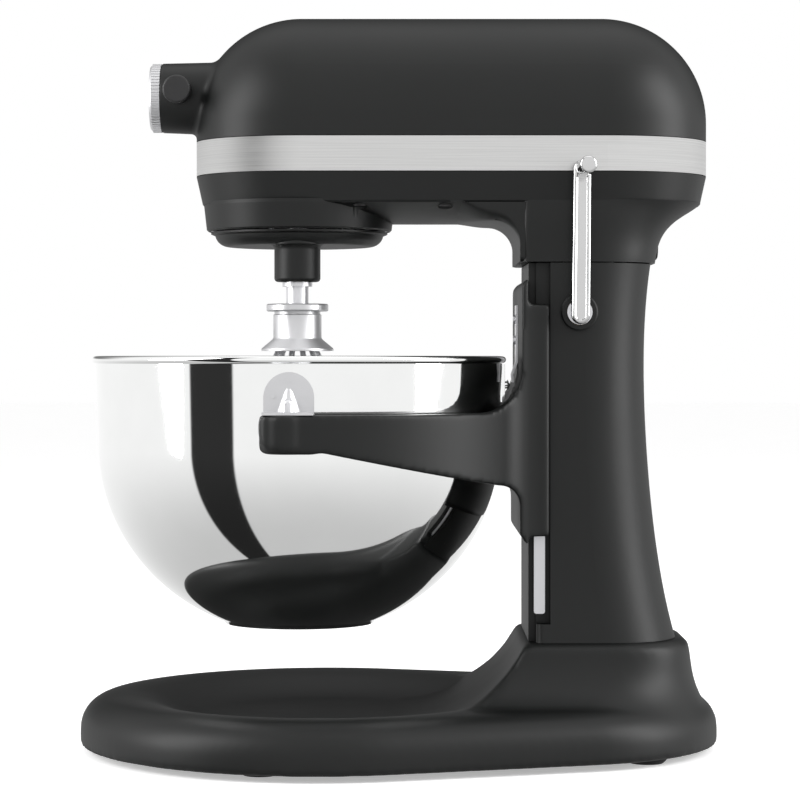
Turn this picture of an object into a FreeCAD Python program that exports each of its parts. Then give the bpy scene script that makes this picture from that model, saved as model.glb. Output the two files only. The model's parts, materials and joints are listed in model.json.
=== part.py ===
"""Bowl-lift stand mixer: base, column, head, drive train, lift and bowl, one solid or group per piece.

Millimetres. +Z up, the front of the mixer faces -Y, the lift lever is on the +X side, and the origin
is under the middle of the base, on the surface that the feet stand on.
"""
import FreeCAD
import Part
import math
import os

V = FreeCAD.Vector
X_AXIS = V(1, 0, 0)
Y_AXIS = V(0, 1, 0)
Z_AXIS = V(0, 0, 1)

# Base: the plan is two circles and the lines tangent to both
BASE_FRONT_Y = -44.0
BASE_FRONT_R = 140.0
BASE_REAR_Y = 80.0
BASE_REAR_R = 104.0
FOOT_H = 3.5
BASE_TOP = 31.7
BASE_ROUND = 18.0
BASE_WALL = 8.0
BASE_HOLLOW_TOP = 12.0
RIM_HOLLOW_TOP = 23.0
RIM_HOLLOW_R = 104.0
DISH_FLOOR = 20.0
DISH_FLOOR_R = 62.0
DISH_EDGE_R = 118.0
COVE_R = 79.0
COVE_Y = -0.6
COLLAR_TOP = 66.0
COLLAR_ROUND = 5.0

# Column
COLUMN_TOP = 279.0
COLUMN_FRONT = 77.0
SPINE_FRONT = 73.0
SPINE_HALF = 44.0
GUIDE_HALF = 47.0
GUIDE_STRIP = 2.0
SLOT_BOTTOM = 76.5
SLOT_REAR = 84.8
CAVITY_HALF = 41.0
CAVITY_FRONT = 89.0
COLUMN_REAR_WALL = 7.0
CAVITY_BOTTOM = 78.0

# Head
HEAD_END_R = 61.0
HEAD_HALF = 56.0
HEAD_FRONT_Y = -56.0
HEAD_REAR_Y = 116.5
SHOULDER_Z = 360.4
HEAD_WALL = 4.0
BAND_Z0 = 330.3
BAND_Z1 = 349.8
BAND_T = 2.0
BAND_GAP = 0.4
BAND_SCREW_Z = 345.0
SPLIT_Z = 340.0
TUB_EDGE_Z = 313.0
TUB_EDGE_R = 57.5
BELLY_Z = 303.0
TUB_FLOOR = 317.0
NECK_FRONT = 69.0
NECK_FILLET = 15.0

# Planetary drive
BOWL_Y = -57.7
DRUM_R_TOP = 55.0
DRUM_R_LOW = 53.5
DRUM_Z0 = 298.5
DRUM_BORE_R = 51.6
DRUM_BORE_TOP = 311.0
BEATER_OFFSET = 30.0
RUN = 0.05
GEAR_MODULE = 1.5
RING_TEETH = 60
PLANET_TEETH = 20
PLANET_Z0 = 299.0
PLANET_H = 9.0
CENTRE_TEETH = 48
LAY_TEETH = 12
CENTRE_GEAR_Z = 333.0
CENTRE_GEAR_H = 10.0
LAY_Y = BOWL_Y + GEAR_MODULE * (CENTRE_TEETH + LAY_TEETH) / 2
CROWN_TEETH = 30
HUB_TEETH = 15
HUB_Z = 375.8
MOTOR_Z = 362.0
MOTOR_MODULE = 1.8
LAY_BEVEL_TEETH = 30
MOTOR_TEETH = 10
BEVEL_INNER = 0.66
CENTRE_SHAFT_R = 8.0
LAY_SHAFT_R = 6.0
BEATER_SHAFT_R = 6.3
BOSS_R = 13.1
BOSS_Z0 = 268.8

# Attachment hub
SNOUT_R = 20.0
SNOUT_FRONT = -136.9
HUB_BORE_R = 12.7
HUB_BORE_END = -112.0
CAP_FRONT = -143.3
KNOB_Y = -126.3
KNOB_Z = 378.3
KNOB_R = 8.0

# Motor
STATOR_R = 38.0
STATOR_Y0 = 38.0
STATOR_Y1 = 98.0
ARMATURE_R = 21.5
MOTOR_SHAFT_R = 5.0

# Lift
PLATE_FRONT = 68.5
PLATE_REAR = 72.5
RAIL_IN = 49.4
RAIL_OUT = 61.0
RAIL_REAR = 84.1
ARM_IN_R = 122.5
ARM_OUT_R = 137.5
ARM_TIP_Y = -74.6
ARM_TOP = 195.2
ARM_LOW = 174.3
RAIL_BLEND = 25.0
LIFT_TRAVEL = 44.0
LEVER_Y = 101.0
LEVER_Z = 251.3
LEVER_TURN = 130.0
CRANK_R = LIFT_TRAVEL / (1 - math.cos(math.radians(LEVER_TURN)))
LIFT_SHAFT_R = 7.0
SPIGOT_R = 3.6
LEVER_X0 = 58.5
LEVER_X1 = 67.0
LEVER_HALF_W = 4.85
GRIP_Y = 102.8
GRIP_Z = 330.6
GRIP_R = 5.2
GRIP_X1 = 101.0

# Bowl
BOWL_WALL = 1.2
BOWL_A = 116.0
BOWL_B = 110.5
BOWL_MID_Z = 176.0
BOWL_TOP_R = 117.5
BOWL_RIM_Z = 225.2
RIM_R = 2.8
BOWL_BASE_Z = 72.0
BOWL_BASE_R = 44.0
BRACKET_W = 27.3
BRACKET_TOP = 218.0
PIN_X = 129.0
PIN_Y = BOWL_Y - 1.3
PIN_R = 3.5

# Whisk
WIRE_R = 1.2
WHISK_LOOPS = 6
WHISK_LOW_Z = 86.0
WIRE_START_R = 9.1
WIRE_START_Z = 234.5
WIRE_WIDE_R = 62.0
WIRE_WIDE_Z = 124.0

# Speed control
SPEED_TRAVEL = 45.0
SPEED_Z = 321.5
SPEED_Y = 48.0


def in_xy(z):
    """Map an outline into the level plane at height z."""
    return lambda u, v: V(u, v, z)


def in_yz(x):
    """Map an outline of (y, z) points into the upright plane at x."""
    return lambda u, v: V(x, u, v)


def in_xz(y):
    """Map an outline of (x, z) points into the upright plane at y."""
    return lambda u, v: V(u, y, v)


def outline(points, place):
    """Closed wire. An item is a corner (u, v), or (via, end) for an arc from the corner before it."""
    first = points[0]
    here = first
    edges = []
    for item in points[1:] + [first]:
        if isinstance(item[0], tuple):
            via, end = item
            edges.append(Part.Arc(place(*here), place(*via), place(*end)).toShape())
        else:
            end = item
            if math.dist(here, end) > 1e-6:
                edges.append(Part.LineSegment(place(*here), place(*end)).toShape())
        here = end
    return Part.Wire(edges)


def flat(points, place):
    """Flat face inside an outline."""
    return Part.Face(outline(points, place))


def prism_x(points, x0, x1):
    """Outline of (y, z) points drawn out along X."""
    return flat(points, in_yz(x0)).extrude(V(x1 - x0, 0, 0))


def prism_y(points, y0, y1):
    """Outline of (x, z) points drawn out along Y."""
    return flat(points, in_xz(y0)).extrude(V(0, y1 - y0, 0))


def prism_z(points, z0, z1):
    """Outline of (x, y) points drawn out along Z."""
    return flat(points, in_xy(z0)).extrude(V(0, 0, z1 - z0))


def turned(points, y, x=0.0, angle=360.0):
    """Outline of (radius, z) points turned about the upright axis at (x, y)."""
    face = flat(points, lambda u, v: V(x + u, y, v))
    return face.revolve(V(x, y, 0), Z_AXIS, angle)


def turned_y(points, z, x=0.0):
    """Outline of (radius, y) points turned about the axis along Y at (x, z)."""
    face = flat(points, lambda u, v: V(x + u, v, z))
    return face.revolve(V(x, 0, z), Y_AXIS, 360)


def box(x0, x1, y0, y1, z0, z1):
    """Block between two corners."""
    return Part.makeBox(x1 - x0, y1 - y0, z1 - z0, V(x0, y0, z0))


def rod(r, z0, z1, x=0.0, y=0.0):
    """Upright cylinder."""
    return Part.makeCylinder(r, z1 - z0, V(x, y, z0), Z_AXIS)


def rod_y(r, y0, y1, z, x=0.0):
    """Cylinder along Y."""
    return Part.makeCylinder(r, y1 - y0, V(x, y0, z), Y_AXIS)


def rod_x(r, x0, x1, y, z):
    """Cylinder along X."""
    return Part.makeCylinder(r, x1 - x0, V(x0, y, z), X_AXIS)


def mirror_x(shape):
    """The shape's copy on the other side of the middle plane."""
    return shape.mirror(V(0, 0, 0), X_AXIS)


def both_sides(shape):
    """The shape and its mirror copy."""
    return [shape, mirror_x(shape)]


def joined(shapes):
    """One clean solid from touching shapes."""
    return shapes[0].fuse(shapes[1:]).removeSplitter()


def group(shapes):
    """Separate solids kept in one piece."""
    return Part.makeCompound(shapes)


def on_circle(centre_y, radius, degrees):
    """Point (x, y) on a level circle about the middle plane."""
    turn = math.radians(degrees)
    return (radius * math.cos(turn), centre_y + radius * math.sin(turn))


def base_outline(inset):
    """Plan of the base: two circles with their tangent lines, drawn in by an inset."""
    front_r = BASE_FRONT_R - inset
    rear_r = BASE_REAR_R - inset
    lean = math.degrees(math.asin((front_r - rear_r) / (BASE_REAR_Y - BASE_FRONT_Y)))
    return [
        on_circle(BASE_FRONT_Y, front_r, lean),
        on_circle(BASE_REAR_Y, rear_r, lean),
        (on_circle(BASE_REAR_Y, rear_r, 90), on_circle(BASE_REAR_Y, rear_r, 180 - lean)),
        on_circle(BASE_FRONT_Y, front_r, 180 - lean),
        (on_circle(BASE_FRONT_Y, front_r, 270), on_circle(BASE_FRONT_Y, front_r, lean)),
    ]


def post_outline(half, front, rear, front_r, rear_r):
    """Rounded rectangle about the middle plane, with its own radius on front and rear corners."""
    k = 1 - math.sqrt(0.5)
    fk = front_r * k
    rk = rear_r * k
    return [
        (half, front + front_r),
        (half, rear - rear_r),
        ((half - rk, rear - rk), (half - rear_r, rear)),
        (rear_r - half, rear),
        ((rk - half, rear - rk), (-half, rear - rear_r)),
        (-half, front + front_r),
        ((fk - half, front + fk), (front_r - half, front)),
        (half - front_r, front),
        ((half - fk, front + fk), (half, front + front_r)),
    ]


def post_loft(sections):
    """Solid through rounded rectangles, each given as (z, half, front, rear, front_r, rear_r)."""
    wires = [outline(post_outline(*row[1:]), in_xy(row[0])) for row in sections]
    return Part.makeLoft(wires, True, False)


def top_edges(shape, z):
    """Edges that lie wholly at height z."""
    return [e for e in shape.Edges if abs(e.BoundBox.ZMin - z) < 0.01 and abs(e.BoundBox.ZMax - z) < 0.01]


def foot_places():
    """Centres of the rubber feet."""
    return [(0, -160), (105, -75), (-105, -75), (62, 138), (-62, 138)]


def column_bolt_places():
    """Centres of the bolts that hold the column on the collar."""
    return [(sx * 34, y) for sx in (-1, 1) for y in (94, 132)]


def dish_cutter():
    """Turned space over the base: level floor, then an S-shaped rise to the crest."""
    rise = BASE_TOP - DISH_FLOOR
    run = DISH_EDGE_R - DISH_FLOOR_R
    bend = (run * run + rise * rise) / (4 * rise)
    half_turn = math.asin(run / 2 / bend) / 2
    along = bend * math.sin(half_turn)
    up = bend * (1 - math.cos(half_turn))
    middle = ((DISH_FLOOR_R + DISH_EDGE_R) / 2, (DISH_FLOOR + BASE_TOP) / 2)
    return turned([
        (0, DISH_FLOOR),
        (DISH_FLOOR_R, DISH_FLOOR),
        ((DISH_FLOOR_R + along, DISH_FLOOR + up), middle),
        ((DISH_EDGE_R - along, BASE_TOP - up), (DISH_EDGE_R, BASE_TOP)),
        (DISH_EDGE_R, BASE_TOP + 5),
        (0, BASE_TOP + 5),
    ], BASE_FRONT_Y)


def pedestal():
    """Flared foot of the column, cut in front by the round ramp behind the dish."""
    flare = [
        (BASE_HOLLOW_TOP, 97, 2, 176, 8, 88),
        (22, 96, 2, 177, 8, 86),
        (29, 86, 2, 175, 8, 76),
        (36, 75, 2, 171.6, 8, 62),
        (46, 66.5, 2, 168.4, 8, 50),
        (54, 63.2, 2, 167, 8, 44),
        (COLLAR_TOP - COLLAR_ROUND - 0.5, 62, 2, 166, 8, 42),
    ]
    body = post_loft(flare)
    low, half, front, rear, front_r, rear_r = flare[-1]
    collar = prism_z(post_outline(half, front, rear, front_r, rear_r), low, COLLAR_TOP)
    collar = collar.makeFillet(COLLAR_ROUND, top_edges(collar, COLLAR_TOP))
    body = joined([body, collar])
    ramp = rod_x(COVE_R, -150, 150, COVE_Y, DISH_FLOOR + 1 + COVE_R)
    return body.cut(ramp)


def base_casting():
    slab = prism_z(base_outline(0), FOOT_H, BASE_TOP)
    slab = slab.makeFillet(BASE_ROUND, top_edges(slab, BASE_TOP))
    slab = slab.cut(dish_cutter())
    body = joined([slab, pedestal()])
    hollow = prism_z(base_outline(BASE_WALL), FOOT_H - 1, BASE_HOLLOW_TOP)
    rim_hollow = prism_z(base_outline(BASE_WALL + 5), BASE_HOLLOW_TOP - 1, RIM_HOLLOW_TOP)
    rim_hollow = rim_hollow.cut(rod(RIM_HOLLOW_R, 0, BASE_TOP, 0, BASE_FRONT_Y))
    column_foot = [rod(11, FOOT_H, 54, x, y) for x, y in column_bolt_places()]
    foot_hollow = prism_z(post_outline(48, 84, 152, 10, 24), FOOT_H, 54)
    foot_hollow = foot_hollow.cut(column_foot)
    body = body.cut([hollow, rim_hollow.cut(column_foot), foot_hollow])
    bosses = [rod(15, FOOT_H, RIM_HOLLOW_TOP + 1, x, y) for x, y in foot_places()]
    body = joined([body] + bosses)
    foot_pockets = [rod(12.1, FOOT_H - 1, FOOT_H + 2, x, y) for x, y in foot_places()]
    bolt_holes = [rod(4.1, FOOT_H, COLLAR_TOP + 1, x, y) for x, y in column_bolt_places()]
    return body.cut(foot_pockets + bolt_holes)


def rubber_feet():
    """Five round pads with a chamfered tread."""
    profile = [(0, 0), (9.5, 0), (11, 1.5), (12, 3), (12, FOOT_H + 2), (0, FOOT_H + 2)]
    return group([turned(profile, y, x) for x, y in foot_places()])


def column_sections():
    """Outer section of the column from its foot to the seam below the head."""
    return [
        (COLLAR_TOP, 57.0, COLUMN_FRONT, 158.5, 4, 42),
        (92, 55.4, COLUMN_FRONT, 152.2, 4, 40),
        (132, 53.5, COLUMN_FRONT, 145.9, 4, 38),
        (200, 52.0, COLUMN_FRONT, 140.7, 4, 36),
        (COLUMN_TOP, 52.4, COLUMN_FRONT, 144.0, 4, 36),
    ]


def cavity_loft(z0, z1):
    """Room inside the column between two heights, following its back."""
    rows = []
    for z, half, front, rear, front_r, rear_r in column_sections():
        rows.append((z, CAVITY_HALF, CAVITY_FRONT, rear - COLUMN_REAR_WALL, front_r, rear_r - 10))
    room = post_loft(rows)
    return room.common(box(-60, 60, 60, 180, z0, z1))


def head_bolt_places():
    """Centres of the bolts from the column's walls up into the neck."""
    return [(sx * 46.5, y) for sx in (-1, 1) for y in (96, 118)]


def column():
    body = post_loft(column_sections())
    spine = box(-SPINE_HALF, SPINE_HALF, SPINE_FRONT, COLUMN_FRONT + 6, COLLAR_TOP, COLUMN_TOP)
    body = joined([body, spine])
    notch = box(GUIDE_HALF, 70, 60, SLOT_REAR, SLOT_BOTTOM, COLUMN_TOP + 1)
    lug_slot = box(-9, 9, 60, CAVITY_FRONT + 4, 137, 217)
    body = body.cut(both_sides(notch) + [lug_slot, cavity_loft(CAVITY_BOTTOM, COLUMN_TOP + 1)])
    shaft_boss = rod_x(14, 17, CAVITY_HALF + 4, LEVER_Y, LEVER_Z)
    body = joined([body, shaft_boss])
    bush_bore = rod_x(10.02, 16, 56, LEVER_Y, LEVER_Z)
    holes = [rod(4.1, COLLAR_TOP - 1, CAVITY_BOTTOM + 1, x, y) for x, y in column_bolt_places()]
    holes += [rod(3.05, 262, COLUMN_TOP + 1, x, y) for x, y in head_bolt_places()]
    return body.cut([bush_bore] + holes)


def column_bolts():
    """Hex-headed bolts up through the collar into the column's floor."""
    bolts = []
    for x, y in column_bolt_places():
        head = [(x + u, v) for u, v in [on_circle(y, 6.5, 60 * k) for k in range(6)]]
        bolts.append(joined([prism_z(head, FOOT_H - 1, FOOT_H), rod(4.0, FOOT_H, CAVITY_BOTTOM, x, y)]))
    return group(bolts)


def guide_rails():
    """Bright strips in the column's side slots that the yoke slides on."""
    strip = box(GUIDE_HALF, GUIDE_HALF + GUIDE_STRIP, 75.4, 81.6, 81.8, 268)
    return group(both_sides(strip))


def lift_bushes():
    """Plain bearings of the lever's shaft in the column's boss."""
    def bush(x0, x1):
        return rod_x(10.0, x0, x1, LEVER_Y, LEVER_Z).cut(rod_x(LIFT_SHAFT_R + RUN, x0, x1, LEVER_Y, LEVER_Z))
    return group([bush(17, 27), bush(41, 51)])


def capsule(points):
    """Head form: an outline of (radius, z) turned at both ends, straight between, then squeezed in X."""
    front = turned(points, HEAD_FRONT_Y, angle=180)
    front.rotate(V(0, HEAD_FRONT_Y, 0), Z_AXIS, 180)
    rear = turned(points, HEAD_REAR_Y, angle=180)
    right = flat(points, in_xz(HEAD_FRONT_Y)).extrude(V(0, HEAD_REAR_Y - HEAD_FRONT_Y, 0))
    whole = joined([front, right, mirror_x(right), rear])
    squeeze = FreeCAD.Matrix()
    squeeze.scale(HEAD_HALF / HEAD_END_R, 1, 1)
    return whole.transformGeometry(squeeze)


def dome_profile(r, foot_r, foot_z, step_z):
    """Half section of the head's top: a band seat, a short wall and a quarter round."""
    corner = r * math.sqrt(0.5)
    return [
        (0, foot_z),
        (foot_r, foot_z),
        (foot_r, step_z),
        (r, step_z),
        (r, SHOULDER_Z),
        ((corner, SHOULDER_Z + corner), (0, SHOULDER_Z + r)),
    ]


def belly_mid(z_low, r, z_edge):
    """Point half-way along the shallow arc from the middle of the belly to its edge."""
    bend = (r * r + (z_edge - z_low) ** 2) / (2 * (z_edge - z_low))
    half_turn = math.asin(r / bend) / 2
    return (bend * math.sin(half_turn), z_low + bend * (1 - math.cos(half_turn)))


def screw_post_places():
    """Centres of the screws that hold the two head housings together."""
    return [(sx * 46.0, y) for sx in (-1, 1) for y in (-22, 26)]


def neck_sections():
    """Sections of the neck that flare back into the head."""
    rows = [
        (COLUMN_TOP + 0.6, 52.8, 146.6, 37),
        (288, 53.0, 148.2, 38),
        (297, 53.4, 152.2, 41),
        (303, 53.6, 157.8, 45),
        (308, 53.4, 165.0, 50),
        (TUB_EDGE_Z + 1.5, 52.8, 174.2, 52),
    ]
    return [(z, half, NECK_FRONT, rear, 4, rear_r) for z, half, rear, rear_r in rows]


def lower_housing():
    seat_r = HEAD_END_R - BAND_T - 0.2
    tub = capsule([
        (0, BELLY_Z),
        (belly_mid(BELLY_Z, TUB_EDGE_R - 1, TUB_EDGE_Z), (TUB_EDGE_R - 1, TUB_EDGE_Z)),
        (TUB_EDGE_R, TUB_EDGE_Z + 1),
        (HEAD_END_R, BAND_Z0 - BAND_GAP),
        (seat_r, BAND_Z0 - BAND_GAP),
        (seat_r, SPLIT_Z),
        (0, SPLIT_Z),
    ])
    room = capsule([(0, TUB_FLOOR), (TUB_EDGE_R - HEAD_WALL, TUB_FLOOR), (seat_r - HEAD_WALL, SPLIT_Z + 1),
                    (0, SPLIT_Z + 1)])
    neck = post_loft(neck_sections())
    blend_k = NECK_FILLET * math.sqrt(0.5)
    fillet_y = NECK_FRONT - NECK_FILLET
    fillet_z = BELLY_Z - NECK_FILLET
    blend = prism_x([
        (NECK_FRONT + 3, fillet_z),
        (NECK_FRONT + 3, BELLY_Z + 8),
        (fillet_y, BELLY_Z + 8),
        (fillet_y, BELLY_Z),
        ((fillet_y + blend_k, fillet_z + blend_k), (NECK_FRONT, fillet_z)),
    ], -48, 48)
    drum = turned([
        (0, DRUM_Z0),
        (DRUM_R_LOW - 1, DRUM_Z0),
        (DRUM_R_LOW, DRUM_Z0 + 1),
        (DRUM_R_TOP, TUB_EDGE_Z),
        (DRUM_R_TOP, TUB_EDGE_Z + 2),
        (0, TUB_EDGE_Z + 2),
    ], BOWL_Y)
    body = joined([tub, drum, neck, blend])
    well = prism_z(post_outline(CAVITY_HALF, CAVITY_FRONT, 137, 4, 26), COLUMN_TOP, TUB_FLOOR + 1)
    body = body.cut([room, well, rod(DRUM_BORE_R, DRUM_Z0 - 1, DRUM_BORE_TOP, 0, BOWL_Y)])
    posts = [rod(5, TUB_FLOOR - 1, SPLIT_Z, x, y) for x, y in screw_post_places()]
    saddles = [box(-26, 26, y, y + 8, TUB_FLOOR - 1, MOTOR_Z - STATOR_R + 8) for y in (44, 76)]
    stator_bed = rod_y(STATOR_R + 0.02, STATOR_Y0 - 5, STATOR_Y1 + 5, MOTOR_Z)
    saddles = [s.cut(stator_bed) for s in saddles]
    centre_boss = rod(19, TUB_FLOOR - 1, 329, 0, BOWL_Y)
    lay_boss = rod(15, TUB_FLOOR - 1, 330, 0, LAY_Y)
    body = joined([body, centre_boss, lay_boss] + posts + saddles)
    holes = [rod(14.02, DRUM_BORE_TOP - 1, 330, 0, BOWL_Y), rod(11.02, TUB_FLOOR, 331, 0, LAY_Y)]
    for x, y in screw_post_places():
        holes += [rod(2.25, BELLY_Z, SPLIT_Z + 1, x, y), rod(4.2, BELLY_Z, TUB_EDGE_Z + 1, x, y)]
    holes += [rod(3.05, COLUMN_TOP, 301, x, y) for x, y in head_bolt_places()]
    holes.append(rod_y(7.55, 130, 160, 290))
    slot_end = SPEED_Y + SPEED_TRAVEL
    holes.append(box(-70, -44, SPEED_Y - 5, slot_end + 5, SPEED_Z - 2.4, SPEED_Z + 2.4))
    return body.cut(holes)


def head_bolts():
    """Studs hidden in the column's walls that hold the head's neck."""
    return group([rod(3.0, 262.5, 300, x, y) for x, y in head_bolt_places()])


def housing_screws():
    """Screws from under the head into the upper housing, and the one behind the trim band."""
    screws = []
    for x, y in screw_post_places():
        head = [(0, TUB_EDGE_Z - 2), (4, TUB_EDGE_Z - 2), (4, TUB_EDGE_Z + 1)]
        profile = head + [(2.2, TUB_EDGE_Z + 1), (2.2, 352), (0, 352)]
        screws.append(turned(profile, y, x))
    rear = HEAD_REAR_Y + HEAD_END_R
    shank = [(0, rear - 8), (1.8, rear - 8), (1.8, rear - 1.9)]
    band_screw = turned_y(shank + [(3.4, rear - 0.2), (0, rear - 0.2)], BAND_SCREW_Z)
    screws.append(band_screw)
    return group(screws)


def hub_profile_bore():
    """Stepped hole of the attachment hub: socket in front, bearing seat behind."""
    socket = rod_y(HUB_BORE_R, SNOUT_FRONT - 1, HUB_BORE_END, HUB_Z)
    return [socket, rod_y(12.02, HUB_BORE_END - 1, -85, HUB_Z)]


def upper_housing():
    seat_r = HEAD_END_R - BAND_T - 0.2
    shell = capsule(dome_profile(HEAD_END_R, seat_r, SPLIT_Z + 0.1, BAND_Z1 + BAND_GAP))
    inner_r = HEAD_END_R - HEAD_WALL
    room = capsule(dome_profile(inner_r, seat_r - HEAD_WALL, SPLIT_Z - 1, BAND_Z1 + 4))
    snout = turned_y([
        (0, SNOUT_FRONT),
        (SNOUT_R - 1, SNOUT_FRONT),
        (SNOUT_R, SNOUT_FRONT + 1),
        (SNOUT_R, -122),
        ((SNOUT_R + 0.9, -115.5), (SNOUT_R + 5, -106)),
        (0, -106),
    ], HUB_Z)
    shell = joined([shell, snout]).cut(room)
    sleeve = rod_y(17, HUB_BORE_END - 4, -90, HUB_Z)
    posts = [rod(5, SPLIT_Z + 0.1, 354, x, y) for x, y in screw_post_places()]
    body = joined([shell, sleeve] + posts)
    holes = hub_profile_bore()
    holes.append(rod_x(4 + RUN, 5, 40, KNOB_Y, KNOB_Z))
    holes += [rod(2.25, SPLIT_Z - 1, 352.1, x, y) for x, y in screw_post_places()]
    rear = HEAD_REAR_Y + HEAD_END_R
    holes.append(rod_y(1.85, rear - 9, rear + 1, BAND_SCREW_Z))
    return body.cut(holes)


def trim_band():
    """Bare brushed band wrapped round the joint of the two housings."""
    ring = capsule([(0, BAND_Z0), (HEAD_END_R, BAND_Z0), (HEAD_END_R, BAND_Z1), (0, BAND_Z1)])
    inside = HEAD_END_R - BAND_T
    low = BAND_Z0 - 1
    high = BAND_Z1 + 1
    ring = ring.cut(capsule([(0, low), (inside, low), (inside, high), (0, high)]))
    rear = HEAD_REAR_Y + HEAD_END_R
    shank = [(0, rear - 9), (1.85, rear - 9), (1.85, rear - 1.9)]
    sink = turned_y(shank + [(3.5, rear - 0.2), (3.5, rear + 1), (0, rear + 1)], BAND_SCREW_Z)
    return ring.cut(sink)


def cord_grommet():
    """Flush rubber ring in the back of the neck where the mains lead goes in."""
    profile = [(3.6, 137.5), (7.5, 137.5), (7.5, 149), (6.5, 149.6), (4.2, 149.6), (3.6, 149)]
    return turned_y(profile, 290)


def control_board():
    """Speed board on standoffs at the inner wall, with its larger components."""
    plate = box(43.6, 45.2, 44, 104, 320, 345)
    standoffs = [rod_x(2.5, 45.2, 48.6, y, z) for y in (48, 100) for z in (324, 341)]
    parts = [box(37, 43.6, 50, 60, 324, 330), box(39, 43.6, 88, 100, 324, 334), rod_x(4, 38.5, 43.6, 74, 327)]
    return joined([plate] + standoffs + parts)


def stator_core():
    """Laminated ring with two pole faces round the armature."""
    ring = rod_y(STATOR_R, STATOR_Y0, STATOR_Y1, MOTOR_Z).cut(rod_y(32, STATOR_Y0, STATOR_Y1, MOTOR_Z))
    poles = box(-33, 33, STATOR_Y0, STATOR_Y1, MOTOR_Z - 11, MOTOR_Z + 11).common(rod_y(33, 0, 200, MOTOR_Z))
    return joined([ring, poles]).cut(rod_y(ARMATURE_R + 0.7, STATOR_Y0, STATOR_Y1, MOTOR_Z))


def field_coils():
    """Two windings, each a frame round its pole."""
    coils = []
    for side in (-1, 1):
        outer = box(24, 30.5, STATOR_Y0 - 7, STATOR_Y1 + 7, MOTOR_Z - 19, MOTOR_Z + 19)
        inner = box(23, 31, STATOR_Y0 - 0.4, STATOR_Y1 + 0.4, MOTOR_Z - 11.4, MOTOR_Z + 11.4)
        coil = outer.cut(inner).common(rod_y(31.5, 0, 200, MOTOR_Z))
        coils.append(coil if side > 0 else mirror_x(coil))
    return group(coils)


def motor_brackets():
    """Front and rear plates that stand on the head's floor and carry the motor's bearings."""
    plates = []
    for y0, y1, foot in ((20, 27, 30), (130, 137, 22)):
        plate = rod_y(24, y0, y1, MOTOR_Z)
        leg = box(-foot, foot, y0, y1, TUB_FLOOR + 0.02, MOTOR_Z - 14)
        plate = joined([plate, leg])
        windows = [rod_y(5, y0, y1, z, x) for x, z in [on_circle(MOTOR_Z, 17, a) for a in (17, 90, 163)]]
        plates.append(plate.cut(windows + [rod_y(11.02, y0, y1, MOTOR_Z)]))
    plates[1] = plates[1].cut(box(-60, 60, 129, 138, TUB_FLOOR - 10, TUB_FLOOR + 8))
    return group(plates)


def ring_y(outer, inner, y0, y1, z):
    """Plain ring along Y."""
    return rod_y(outer, y0, y1, z).cut(rod_y(inner, y0, y1, z))


def ring_z(outer, inner, z0, z1, x, y):
    """Plain upright ring."""
    return rod(outer, z0, z1, x, y).cut(rod(inner, z0, z1, x, y))


def motor_bearings():
    return group([ring_y(11, MOTOR_SHAFT_R + RUN, y0, y0 + 7, MOTOR_Z) for y0 in (20, 130)])


def brush_holders():
    """Two square tubes pointing at the commutator, on bars between the rear bracket and the stator."""
    holder = box(14.6, 33, 111, 121, MOTOR_Z - 6, MOTOR_Z + 6)
    holder = holder.cut(box(14, 34, 113, 119, MOTOR_Z - 4, MOTOR_Z + 4))
    bar = box(18, 23.5, 121, 130, MOTOR_Z - 6, MOTOR_Z + 6)
    return group(both_sides(joined([holder, bar])))


def carbon_brushes():
    brush = box(13.4, 29, 113.1, 118.9, MOTOR_Z - 3.9, MOTOR_Z + 3.9)
    return group(both_sides(brush))


def tooth_ring(teeth, tip_r, root_r, phase, tip_share=0.11, root_share=0.29):
    """Corner points of a ring of flat-sided teeth. The shares are half widths in pitches."""
    pitch = 2 * math.pi / teeth
    points = []
    for k in range(teeth):
        middle = phase + k * pitch
        corners = ((root_r, -root_share), (tip_r, -tip_share), (tip_r, tip_share), (root_r, root_share))
        for r, share in corners:
            points.append((r * math.cos(middle + share * pitch), r * math.sin(middle + share * pitch)))
    return points


def spur(teeth, module, z0, z1, x, y, phase):
    """Spur gear with an upright axis."""
    pitch_r = module * teeth / 2
    points = tooth_ring(teeth, pitch_r + 0.85 * module, pitch_r - 1.15 * module, phase)
    return prism_z([(x + u, y + v) for u, v in points], z0, z1)


def bevel(teeth, mate_teeth, module, phase):
    """Straight bevel gear with its apex at the origin and its axis down -Z."""
    pitch_r = module * teeth / 2
    reach = module * mate_teeth / 2
    cone = math.atan2(pitch_r, reach)
    slant = math.hypot(pitch_r, reach)
    tip_r = reach * math.tan(cone + math.atan(0.8 * module / slant))
    root_r = reach * math.tan(cone - math.atan(1.15 * module / slant))
    outer = [V(u, v, -reach) for u, v in tooth_ring(teeth, tip_r, root_r, phase)]
    inner = [p * BEVEL_INNER for p in outer]
    count = len(outer)
    faces = [Part.Face(Part.makePolygon(outer + outer[:1])), Part.Face(Part.makePolygon(inner + inner[:1]))]
    for i in range(count):
        j = (i + 1) % count
        faces.append(Part.Face(Part.makePolygon([outer[i], outer[j], inner[j], inner[i], outer[i]])))
    solid = Part.Solid(Part.Shell(faces))
    if solid.Volume < 0:
        solid.reverse()
    return solid


def lay_bearings():
    return group([ring_z(11, LAY_SHAFT_R + RUN, z0, z0 + 4.5, 0, LAY_Y) for z0 in (317.1, 325.4)])


def centre_bearings():
    return group([ring_z(14, CENTRE_SHAFT_R + RUN, z0, z0 + 8, 0, BOWL_Y) for z0 in (311, 320.9)])


def hub_bearing():
    return ring_y(12, 8 + RUN, HUB_BORE_END + 0.1, -91, HUB_Z)


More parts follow.
